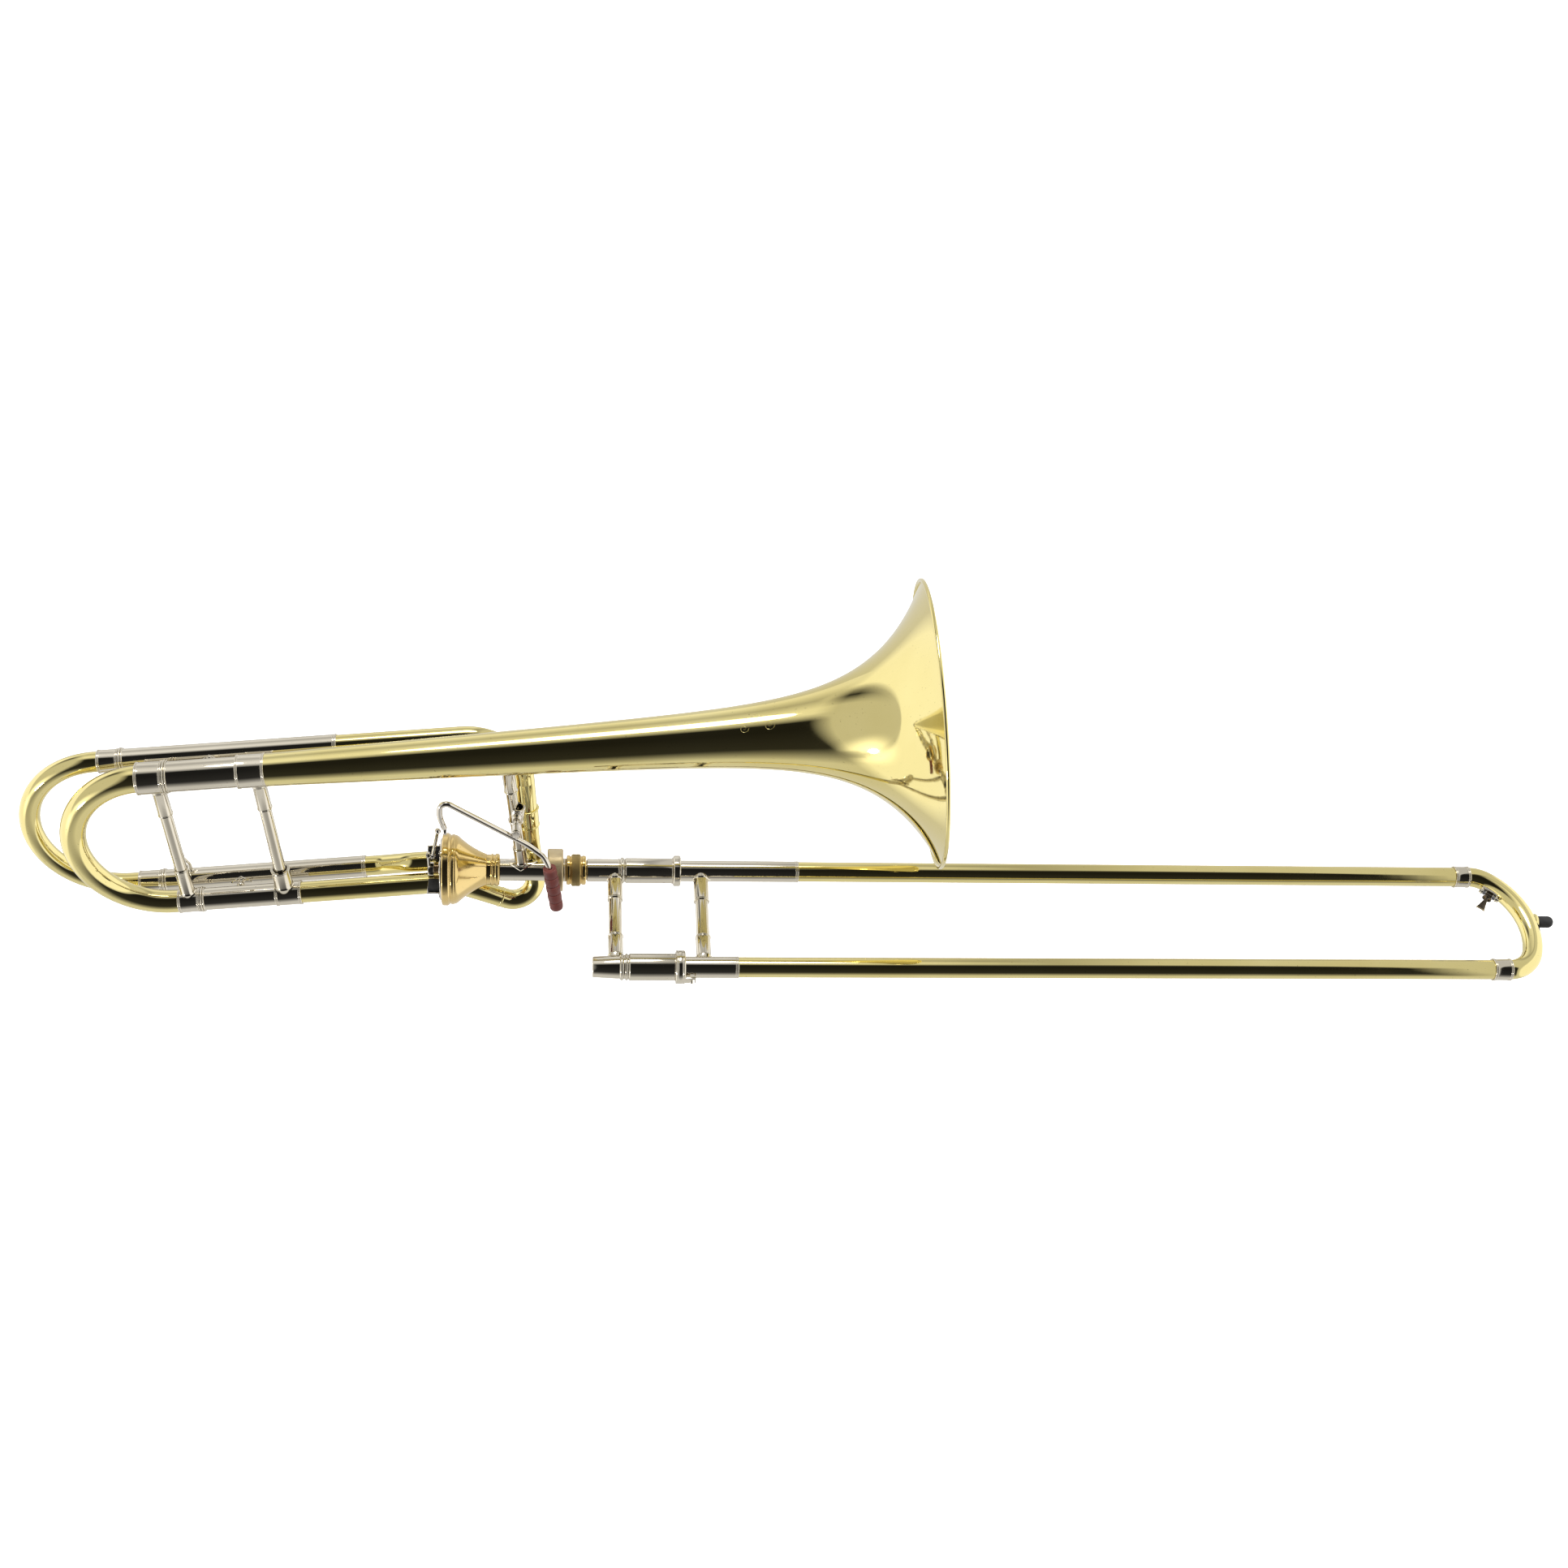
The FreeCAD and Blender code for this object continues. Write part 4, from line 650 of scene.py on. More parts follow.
# ---- hand slide, moving half --------------------------------------------------------------------
def bow_points():
    point, heading = V(705.0, SPACING, 0), 0.0
    made = [V(698.4, SPACING, 0), V(702.0, SPACING, 0)]
    for radius, until in ((23.9, 34.35), (BOW_R, 110.5), (None, 180.0)):
        if radius is None:
            radius = point.y / (1 + math.cos(math.radians(heading)))
        steps = int((until - heading) / 2.5)
        start = math.radians(heading)
        for k in range(0 if heading == 0 else 1, steps + 1):
            a = start + math.radians(until - heading) * k / steps
            made.append(V(point.x + radius * (math.sin(a) - math.sin(start)),
                          point.y - radius * (math.cos(start) - math.cos(a)), 0))
        point, heading = made[-1], until
    made += [V(714.0, 0, 0), V(709.8, 0, 0)]
    return made


KEY = (Matrix.Translation((724.6, 78.2, 0)) @ Matrix.Rotation(math.radians(-39.0), 4, "Z")
       @ Matrix.Rotation(math.pi, 4, "X"))
HINGE = 10.4
NIPPLE = KEY @ Matrix.Rotation(math.radians(-30.0), 4, "X")


def water_key():
    # saddle: a curved plate on the tube, two cheeks, the nipple and the hinge screw
    parts = []
    plate = []
    for i in range(13):
        for j in range(9):
            x, turn = -7.5 + 15.0 * i / 12, math.radians(-24 + 48 * j / 8)
            edge = min(min(i, 12 - i) / 1.0, min(j, 8 - j) / 1.0, 1.0)
            r = 7.3 + 1.0 * edge
            # the tube bends away under the plate's ends
            drop = x * x / (2 * BOW_R)
            plate.append(KEY @ V(x, r * math.cos(turn) - drop * 0.4, r * math.sin(turn)))
    faces = [(i * 9 + j, (i + 1) * 9 + j, (i + 1) * 9 + j + 1, i * 9 + j + 1) for i in range(12)
             for j in range(8)]
    parts.append((plate, faces))
    for side in (-1, 1):
        cheek = [(-2.2, 7.0), (2.2, 7.0)]
        cheek += [(2.15 * math.cos(a), HINGE + 2.15 * math.sin(a)) for a in
                  (math.radians(-10 + 200 * k / 12) for k in range(13))]
        # drawn as z, y and standing along x
        stand = KEY @ Matrix(((0, 0, 1, 0), (0, 1, 0, 0), (1, 0, 0, 0), (0, 0, 0, 1)))
        parts.append(prism(cheek, side * 6.2 - 0.75, side * 6.2 + 0.75, stand, 0.2))
    pin = KEY @ Matrix.Translation((0, HINGE, 0))
    parts.append(lathe(drawn(-7.0, 7.0, 0.8), pin, 24, 0))
    parts += slotted_head(pin @ Matrix.Translation((6.9, 0, 0)), 1.7, 1.5)
    parts += slotted_head(pin @ Matrix.Translation((-6.9, 0, 0)) @ Matrix.Rotation(math.pi, 4, "Z"), 1.7, 1.5)
    upright = NIPPLE @ Matrix.Rotation(math.radians(-90), 4, "Y")
    parts.append(lathe([(5.8, 1.4), (5.8, 3.0), (7.9, 3.0), (8.4, 2.5), (9.6, 2.4), (9.8, 2.2), (9.8, 1.4)],
                       upright, 40, 0.2))
    piece("water_key_saddle_made", parts, "outer_slide", "nickel_silver", "water_key_saddle")
    # two torsion coils with their legs
    parts = []
    for side in (-1, 1):
        coil = []
        turns, steps = 3.5, 70
        for k in range(steps + 1):
            a = 2 * math.pi * turns * k / steps - math.pi / 2
            coil.append(V(side * (3.15 + 1.9 * k / steps), HINGE + 1.35 * math.cos(a), 1.35 * math.sin(a)))
        leg = [coil[-1], coil[-1] + V(0, -1.2, side * 0.6), coil[-1] + V(0, -3.0, -1.2)]
        parts.append(pipe(coil + leg[1:], 0.28, KEY, segments=10))
    piece("water_key_spring_coils", parts, "outer_slide", "spring_steel", "water_key_spring")
    # lever: barrel, flared touch, arm and cup
    parts = [lathe(drawn(-2.8, 2.8, 1.9, 0.86), pin, 40, 0.25)]
    touch = []
    rows, columns = 14, 9
    for i in range(rows + 1):
        along = i / rows
        half = 1.0 + 2.6 * max(along - 0.2, 0.0)**1.1 / 0.8**1.1
        y = HINGE + 15.9 * along
        for j in range(columns):
            u = -1 + 2 * j / (columns - 1)
            lift = 0.55 * u * u * along + 0.5 * math.sin(math.pi * along)
            touch.append((V(u * half, y + 0.25 * (1 - u * u) * along, lift), V(u * half, y, lift + 1.0)))
    count = len(touch)
    points = [KEY @ a for a, _ in touch] + [KEY @ b for _, b in touch]
    faces = []
    for i in range(rows):
        for j in range(columns - 1):
            q = (i * columns + j, i * columns + j + 1, (i + 1) * columns + j + 1, (i + 1) * columns + j)
            faces.append(q)
            faces.append(tuple(count + k for k in reversed(q)))
    border = ([(0, j) for j in range(columns)] + [(i, columns - 1) for i in range(1, rows + 1)]
              + [(rows, j) for j in range(columns - 2, -1, -1)] + [(i, 0) for i in range(rows - 1, 0, -1)])
    loop = [i * columns + j for i, j in border]
    for a, b in zip(loop, loop[1:] + loop[:1]):
        faces.append((a, b, count + b, count + a))
    parts.append((points, faces))
    cup = NIPPLE @ Matrix.Rotation(math.radians(-90), 4, "Y")
    parts.append(lathe([(10.3, 3.35), (10.3, 3.75), (12.1, 3.9), (12.7, 3.2), (12.8, AXIS), (11.5, AXIS),
                        (11.5, 3.35)], cup, 48, 0.25))
    reach = math.radians(60)
    arm = route([V(0, 12.9 * math.cos(reach), 12.9 * math.sin(reach)), V(0, HINGE + 2.9, 8.0),
                 V(0, HINGE, 0)], [3.0])
    parts.append(pipe(arm, 1.15, KEY, segments=20, round_ends=True))
    piece("water_key_lever_made", parts, "water_key", "dark_key", "water_key_lever")
    piece("water_key_cork_disc", [lathe(drawn(10.0, 11.5, 3.25), cup, 40, 0.35)],
          "water_key", "cork", "water_key_cork")


def outer_slide():
    for name, place, end in (("outer_tube_lower", PART, 709.8), ("outer_tube_upper", UPPER, 698.4)):
        tube = drawn(33.0, end, OUTER, OUTER_BORE)
        piece(name + "_drawn", [lathe(tube, place, 96, 0.12)], "outer_slide", "lacquered_brass", name)
    for name, place, end in (("outer_sleeve_lower", PART, 109.8), ("outer_sleeve_upper", UPPER, 160.1)):
        outline = ([(56.0, OUTER), (56.0, SLEEVE), (end - 2.6, SLEEVE)] + ridge(end - 2.5, SLEEVE, 0.7, 0.18)
                   + ridge(end - 1.3, SLEEVE, 1.1, 0.26) + [(end, SLEEVE), (end, OUTER)])
        parts = [lathe(outline, place, 96, 0.15)]
        if place is PART:
            pin = (Matrix.Rotation(math.radians(LOCK_SWING_DEG), 4, "X")
                   @ Matrix.Translation((LOCK_PIN_X, -OUTER, 0))
                   @ Matrix.Rotation(math.radians(-90), 4, "Z"))
            parts.append(lathe([(-0.4, AXIS), (-0.4, 2.1), (0.55, 1.9), (0.8, 1.2), (4.5, 1.15), (4.85, 0.8),
                                (4.85, AXIS)], pin, 32, 0.2))
        piece(name + "_turned", parts, "outer_slide", "nickel_silver", name)
    parts = brace(V(83.8, 0, 0), V(83.8, SPACING, 0), X, PART, SLEEVE, SLEEVE, 19.0, 21.0, 5.7, 5.0,
                  (8.0, 6.0))
    piece("outer_brace_soldered", parts, "outer_slide", "nickel_silver", "outer_brace")
    piece("bow_bent", [pipe(bow_points(), OUTER, wall=TUBE_WALL, segments=72)], "outer_slide",
          "lacquered_brass", "bow")
    ferrules = [lathe(beaded(692.4, 704.9, 8.35, OUTER), UPPER), lathe(beaded(702.8, 717.4, 8.35, OUTER))]
    piece("bow_ferrules_turned", ferrules, "outer_slide", "nickel_silver", "bow_ferrules")
    spot = shifted(742.6, 45.0, 0)
    dome = [(17.8 + 4.4 * math.sin(math.radians(a)), max(4.7 * math.cos(math.radians(a)), AXIS))
            for a in range(0, 91, 10)]
    stem = [(8.5, AXIS), (8.5, 4.2), (9.2, 4.6), (10.5, 4.7)] + dome
    piece("bow_bumper_moulded", [lathe(stem, spot, 56, 0.3)], "outer_slide", "black_rubber", "bow_bumper")
    foot = [(4.5, AXIS), (4.5, 6.6), (7.4, 6.6), (8.1, 6.2), (8.5, 5.3), (8.5, AXIS)]
    piece("bow_bumper_foot_turned", [lathe(foot, spot, 56, 0.2)], "outer_slide", "lacquered_brass",
          "bow_bumper_foot")
    water_key()


# ---- bell ---------------------------------------------------------------------------------------
RIM_X, RIM_R, TAIL_S, THROAT_R, TAPER = 379.5, 107.95, 507.0, 11.77, 0.024
BELL_Z, TAIL_X = 110.4, -124.0
SPUN_WALL, WIRE_R = 0.7, 1.6
ORNAMENT_X, ORNAMENT_TURN = 249.0, 1.10


def bell_radius(x):
    s = RIM_X - x
    flare = RIM_R - THROAT_R - TAPER * TAIL_S
    return THROAT_R + TAPER * (TAIL_S - s) + flare * math.exp(-((s / 40.26) ** 0.957))


def bell():
    """The spun bell: outer skin, inner skin and the edge rolled back over its wire."""
    span = RIM_X - 0.8 - TAIL_X
    xs = [RIM_X - 0.8 - span * (k / 120) ** 2.0 for k in range(121)]
    outer = [(x, bell_radius(x)) for x in xs]
    inner = []
    for x, r in outer:
        slope = (bell_radius(min(x + 0.4, RIM_X)) - bell_radius(x - 0.4)) / 0.8
        length = math.hypot(1, slope)
        inner.append((x + SPUN_WALL * slope / length, r - SPUN_WALL / length))
    inner[-1] = (TAIL_X, outer[-1][1] - SPUN_WALL)
    place = shifted(z=BELL_Z, place=BELL)
    wire = [(RIM_X - WIRE_R + WIRE_R * math.cos(a), RIM_R - WIRE_R + WIRE_R * math.sin(a))
            for a in (2 * math.pi * k / 24 for k in range(24))]
    skin = lathe(outer + inner[::-1], place, 224, 0)
    piece("bell_spun", [skin, lathe(wire, place, 224, 0)], "bell_section", "lacquered_brass", "bell")


def scroll(centre_x, centre_turn, size, turns, flip):
    """A vine scroll drawn on the bell's skin as (x, turn) steps about a centre."""
    made = []
    for k in range(49):
        t = k / 48
        a = flip * 2 * math.pi * turns * t
        r = size * (1 - 0.86 * t)
        x = centre_x + r * math.cos(a)
        radius = bell_radius(x)
        turn = centre_turn + r * math.sin(a) / radius
        # centre line just in the skin, so that only the raised edge of the cut shows
        made.append(V(x, -(radius - 0.02) * math.cos(turn), (radius - 0.02) * math.sin(turn)))
    return made


def bell_ornament():
    """A generic engraved vine of three scrolls, as burr lines a tenth of a millimetre high."""
    place = shifted(z=BELL_Z, place=BELL)
    parts = []
    # turn 0 faces -Y of the bell frame; this one faces the player's upper side
    scrolls = ((0, 0.10, 5.2, 1.5, 1), (9.5, -0.12, 4.0, 1.4, -1), (-9.0, -0.16, 3.4, 1.4, -1),
               (15.5, 0.10, 2.6, 1.3, 1))
    for dx, dturn, size, turns, flip in scrolls:
        path = scroll(ORNAMENT_X + dx, ORNAMENT_TURN + dturn, size, turns, flip)
        parts.append(pipe(path, 0.16, place, segments=8, end_radius=0.08))
    piece("bell_engraved_vine", parts, "bell_section", "lacquered_brass")


# ---- valve --------------------------------------------------------------------------------------
STUB_START, RETURN_CORNER, STUB_RING = V(-100.0, 2.3, -18.8), V(-40.5, 5.8, -46.8), 0.504


def valve():
    outer = ([(-114.5, 24.65), (-114.5, 27.1), (-113.8, 27.9), (-112.8, 28.0), (-110.4, 28.0), (-109.3, 27.7),
              (-108.7, 26.9), (-107.9, 26.5)] + ridge(-107.7, 26.5, 2.8, 0.5)
             + [(-104.6, 26.6), (-103.6, 26.3)]
             + arc3((-102.4, 25.6), (-91.8, 17.4), (-81.0, 12.0), 22)
             + [(-81.0, BORE), (-83.5, BORE), (-83.5, 9.9)])
    piece("valve_casing_turned", [lathe(outer, VALVE, 144, 0.25)], "bell_section", "lacquered_brass",
          "valve_casing",
          look=WARM_BRASS)
    neck = ([(-81.0, BORE), (-81.0, 11.9), (-79.6, 11.6), (-78.0, 11.6)] + ridge(-77.7, 11.6, 1.9, 0.75)
            + [(-75.6, 11.6), (-74.9, 11.6)] + ridge(-74.5, 11.7, 3.0, 0.75) + [(-71.0, 11.6), (-71.0, BORE)])
    piece("valve_neck_turned", [lathe(neck, VALVE, 96, 0.2)], "bell_section", "lacquered_brass", "valve_neck",
          look=WARM_BRASS)
    receiver = [(-71.0, BORE), (-71.0, 8.4), (-22.2, 8.4), (-22.2, 9.2)]
    for k in range(11):
        x = -21.6 + 1.15 * k
        receiver += [(x, 9.2), (x + 0.55, 8.85)]
    receiver += [(-9.0, 9.1), (-8.4, 8.7), (-8.4, 7.75), (-52.0, 7.75), (-52.0, BORE)]
    piece("slide_receiver_threaded", [lathe(receiver, VALVE, 80, 0.1)], "bell_section", "nickel_silver",
          "slide_receiver")
    collar = [(-34.5, 8.42), (-34.5, 15.8), (-33.7, 16.5), (-23.2, 16.5), (-22.4, 15.8), (-22.4, 8.42)]
    piece("receiver_collar_satin", [lathe(collar, VALVE, 120, 0.45)], "bell_section", "collar_satin",
          "receiver_collar")


def lock_nut():
    """The lock nut: smooth end rings and a raised band cut with a crossed knurl."""
    shell = [(-19.8, 9.4), (-19.8, 10.9), (-19.3, 11.55), (-17.5, 11.6), (-17.0, 10.9), (-16.4, 10.9),
             (-16.2, 11.7),
             (-9.0, 11.7), (-8.8, 10.9), (-8.2, 10.9), (-7.6, 11.4), (-5.5, 11.3), (-4.9, 10.6), (-4.9, 7.95),
             (-7.6, 7.95), (-7.6, 9.4)]
    teeth, across, rows = 54, 9, 27
    segments = teeth * across
    points, faces = [], []
    for i in range(rows + 1):
        t = i / rows
        x = -16.0 + 6.8 * t
        edge = min(min(t, 1 - t) / 0.09, 1.0)
        base = 11.6 + 0.48 * math.sqrt(max(0.0, 1 - (1 - edge) ** 2))
        for k in range(segments):
            a = 2 * math.pi * k / segments
            phase = 2 * math.pi * 4.2 * t
            cut = min(abs(math.sin((teeth * a + phase) / 2)), abs(math.sin((teeth * a - phase) / 2)))
            r = base + 0.34 * min(cut * 1.6, 1.0) * edge
            points.append(VALVE @ V(x, r * math.cos(a), r * math.sin(a)))
    for i in range(rows):
        for k in range(segments):
            n = (k + 1) % segments
            faces.append((i * segments + k, i * segments + n, (i + 1) * segments + n, (i + 1) * segments + k))
    piece("bell_lock_nut_knurled", [(points, faces)], "lock_nut", "knurled_brass", "bell_lock_nut",
          sharp=70.0)
    piece("bell_lock_nut_rings", [lathe(shell, VALVE, 96, 0.2)], "lock_nut", "knurled_brass", "bell_lock_nut",
          look=WARM_BRASS)


ARM_Y, ARM_Z = 5.0, 18.8
ARM_REST = math.atan2(ARM_Y, ARM_Z)
ROTOR_TURN = math.radians(67.0)


def around(angle):
    """The valve frame turned about its axis so that local Z points at an angle from the bell plane."""
    return VALVE @ Matrix.Rotation(angle, 4, "X")


def box_outline(y0, y1, z0, z1):
    return [(y0, z0), (y1, z0), (y1, z1), (y0, z1)]


# drawn as y, z and standing along x
YZ_STAND = Matrix(((0, 0, 1, 0), (1, 0, 0, 0), (0, 1, 0, 0), (0, 0, 0, 1)))


def valve_rear():
    plate = [(-116.0, 3.1), (-116.0, 23.4), (-115.5, 24.0), (-114.5, 24.0), (-114.5, 3.1)]
    parts = [lathe(plate, VALVE, 120, 0.2)]
    hub = [(-117.5, 3.1), (-117.5, 6.0), (-116.9, 6.6), (-115.9, 6.8), (-115.9, 3.1)]
    parts.append(lathe(hub, VALVE, 64, 0.2))
    for k in range(3):
        a = math.radians(100 + 120 * k)
        head = VALVE @ Matrix.Translation((-115.9, 20.6 * math.cos(a), 20.6 * math.sin(a))) @ Matrix.Rotation(
            math.pi, 4, "Z")
        parts += slotted_head(head, 1.5, 0.9)
    for angle, side in ((ARM_REST, 1), (ARM_REST + ROTOR_TURN, -1)):
        y = sorted((side * 6.2, side * 7.4))
        stand = around(angle) @ YZ_STAND
        parts.append(prism(box_outline(y[0], y[1], 7.0, 22.5), -125.4, -115.9, stand, 0.35))
        foot = sorted((side * 6.2, side * 11.0))
        parts.append(prism(box_outline(foot[0], foot[1], 12.0, 19.0), -117.1, -115.9, stand, 0.3))
    piece("valve_back_plate_made", parts, "bell_section", "linkage_nickel", "valve_back_plate")
    parts = []
    for angle, side in ((ARM_REST, 1), (ARM_REST + ROTOR_TURN, -1)):
        y = sorted((side * 3.25, side * 6.2))
        parts.append(prism(box_outline(y[0], y[1], 8.0, 21.0), -125.0, -116.1, around(angle) @ YZ_STAND, 0.7))
    piece("stop_bumpers_moulded", parts, "bell_section", "black_rubber", "stop_bumpers")
    reach = math.hypot(ARM_Y, ARM_Z)
    blade = [(3.0 * math.cos(a), reach + 3.0 * math.sin(a)) for a in (math.pi * k / 14 for k in range(15))]
    blade += [(-2.4, 9.0), (-3.0, 3.0), (3.0, 3.0), (2.4, 9.0)]
    parts = [prism(blade, -125.6, -123.4, around(ARM_REST) @ YZ_STAND, 0.3),
             lathe([(-125.6, 3.0), (-125.8, 4.9), (-125.3, 5.6), (-121.3, 5.6), (-121.0, 5.2), (-121.0, 3.0)],
                   VALVE, 56, 0.25),
             lathe(drawn(-123.5, -119.1, 1.42),
                   around(ARM_REST) @ Matrix.Translation((0, 0, reach)), 28, 0.2)]
    parts += slotted_head(around(ARM_REST) @ Matrix.Translation((-125.5, 0, reach)) @ Matrix.Rotation(
        math.pi, 4, "Z"), 1.9, 0.8)
    piece("stop_arm_made", parts, "rotor", "linkage_nickel", "stop_arm")


# ---- thumb lever --------------------------------------------------------------------------------
LEVER_PIVOT, LEVER_Y = V(-58.0, -12.0, 57.5), -20.0
LEVER_EYE, LINK_TOP = V(-110.6, LEVER_Y, 57.0), V(-116.0, LEVER_Y, 57.0)
GRIP_TOP, GRIP_END = V(-33.0, -25.0, 25.3), V(-27.0, -25.0, -16.0)


def linkage():
    foot = V(-121.4, -ARM_Y, ARM_Z)
    eye = lathe([(-1.4, 1.5), (-1.4, 2.7), (-1.1, 3.0), (1.1, 3.0), (1.4, 2.7), (1.4, 1.5)],
                shifted(*foot, place=VALVE), 48, 0.2)
    run = LINK_TOP - foot
    bar = [(2.6, AXIS), (2.6, 1.9), (4.2, 1.3), (run.length - 3.2, 1.3), (run.length - 1.9, 1.7),
           (run.length - 1.9, AXIS)]
    parts = [eye, lathe(bar, aimed(foot, run, VALVE), 32, 0.3), ball(LINK_TOP, 2.4, VALVE, 40)]
    piece("link_rod_made", parts, "link", "linkage_nickel", "link_rod")
    points = [LEVER_EYE + V(0, 0, 1.6), V(-114.6, LEVER_Y, 72.0), V(-113.4, LEVER_Y, 87.9),
              V(-50.0, LEVER_Y, 44.4),
              V(-37.5, -22.8, 35.0), GRIP_TOP, GRIP_TOP + (GRIP_END - GRIP_TOP) * 0.5]
    parts = [pipe(route(points, [30.0, 5.0, 60.0, 12.0, 30.0], 3.0), 2.2, VALVE, segments=36,
                  round_ends=True)]
    parts.append(lathe([(-1.2, AXIS), (-1.2, 2.5), (-0.8, 2.9), (0.8, 2.9), (1.2, 2.5), (1.2, AXIS)],
                       shifted(*LEVER_EYE, place=VALVE), 44, 0.25))
    pivot = V(LEVER_PIVOT.x, LEVER_Y, LEVER_PIVOT.z)
    parts.append(lathe([(2.4, AXIS), (2.4, 2.6), (3.8, 2.0), (7.4, 2.0), (7.4, AXIS)],
                       aimed(pivot, -Z, VALVE), 32, 0.4))
    barrel = [(-2.4, 1.55), (-2.4, 3.1), (-2.0, 3.4), (-0.9, 3.4), (-0.6, 3.15), (4.8, 3.15), (5.1, 3.4),
              (6.2, 3.4), (6.6, 3.1), (6.6, 1.55)]
    parts.append(lathe(barrel, aimed(pivot, Y, VALVE), 48, 0.2))
    piece("lever_rod_bent", parts, "thumb_lever", "linkage_nickel", "lever_rod")
    # the grip: five rolls with tight grooves and a rounded end
    length = (GRIP_END - GRIP_TOP).length
    pitch = length / 5
    outline = [(0.0, 2.15), (0.0, 3.3), (0.35, 4.0)]
    for index in range(5):
        start = index * pitch
        swell = 5.15 + 0.25 * math.sin(math.pi * (index + 0.5) / 5)
        for k in range(9):
            t = k / 8
            rise = math.sin(math.pi * (0.09 + 0.82 * t)) ** 0.33
            outline.append((start + 0.3 + (pitch - 0.6) * t, 4.35 + (swell - 4.35) * rise))
        if index < 4:
            outline.append((start + pitch, 4.3))
    outline += [(length - 0.35, 3.9), (length, 3.0), (length, AXIS), (length - 3.0, AXIS),
                (length * 0.86, 2.15)]
    grip = lathe(outline, aimed(GRIP_TOP, GRIP_END - GRIP_TOP, VALVE), 64, 0)
    piece("thumb_grip_moulded", [grip], "thumb_lever", "burgundy_grip", "thumb_grip", sharp=60.0)


def hinge():
    """Collar on the lever brace with the pin that carries the lever's barrel."""
    x, y, z = LEVER_PIVOT
    block = V(x, 0, z)
    outward = aimed(block, -Y, VALVE)
    parts = [lathe([(-2.0, AXIS), (-2.0, 3.6), (4.4, 3.6), (4.6, 3.9), (5.4, 3.9), (5.7, 3.5), (8.6, 3.5),
                    (9.0, 3.2),
                    (9.0, 1.48), (23.0, 1.48), (23.0, AXIS)], outward, 48, 0.2)]
    parts += slotted_head(aimed(V(x, LEVER_Y - 2.65, z), -Y, VALVE), 2.9, 1.25, 0.7, 0.6)
    along = aimed(V(x - 0.1, 0, z), V(0.108, 0, 0.994), VALVE)
    band = ([(-7.5, 4.2), (-7.5, 5.5)] + ridge(-7.3, 5.5, 1.6, 0.4) + [(-5.5, 5.6), (5.5, 5.6)]
            + ridge(5.7, 5.5, 1.6, 0.4) + [(7.5, 5.5), (7.5, 4.2)])
    parts.append(lathe(band, along, 56, 0.2))
    for sign in (-1, 1):
        screw = along @ Matrix.Translation((3.4 * sign, 0, 0)) @ Matrix.Rotation(math.radians(-90), 4, "Z")
        parts += slotted_head(screw @ Matrix.Translation((5.3, 0, 0)), 1.3, 0.9, 0.4, 0.35)
    piece("hinge_bracket_made", parts, "bell_section", "linkage_nickel", "hinge_bracket")


def lever_brace():
    u = 64.0
    top = BELL_Z - bell_radius(u)
    low = -u * math.tan(math.radians(TILT_DEG))
    place = aimed(V(u, 0, low), Z, BELL)
    end = top - low
    outline = ([(6.0, AXIS), (6.0, 4.8), (9.4, 5.5), (9.9, 5.1), (10.8, 4.8), (22.2, 4.8)]
               + ridge(22.4, 4.8, 2.0, 0.5)
               + [(24.5, 4.1), (end - 20.6, 4.1)] + ridge(end - 20.4, 4.9, 1.7, 0.5)
               + [(end - 18.4, 4.9), (end - 1.8, 4.9), (end - 0.9, 5.3), (end + 0.2, 6.0), (end + 1.6, 6.2),
                  (end + 1.6, AXIS)])
    parts = [lathe(outline, place, 56, 0.2)]
    parts.append(diamond(V(-54.9, 0, 0), X, Z, 8.4, 13.0, 8.4, VALVE, steps=22))
    piece("lever_brace_soldered", parts, "bell_section", "nickel_silver", "lever_brace")


# ---- bell legs ----------------------------------------------------------------------------------
LEG_Z, F_Y, F_TOP, F_LOW = -14.0, 27.0, 107.2, -16.0
F_TUBE, F_SLEEVE = 7.75, 8.35


def slide_mouth(x0, x1, outer, bore, ring):
    """An outer tuning-slide leg whose mouth is a double ring."""
    return ([(x0, bore), (x0, outer + 0.2)] + ridge(x0 + 0.05, outer + 0.15, 1.7, ring - outer - 0.15)
            + ridge(x0 + 1.85, outer, 1.3, 0.65 * (ring - outer))
            + [(x0 + 3.4, outer), (x1, outer), (x1, bore)])


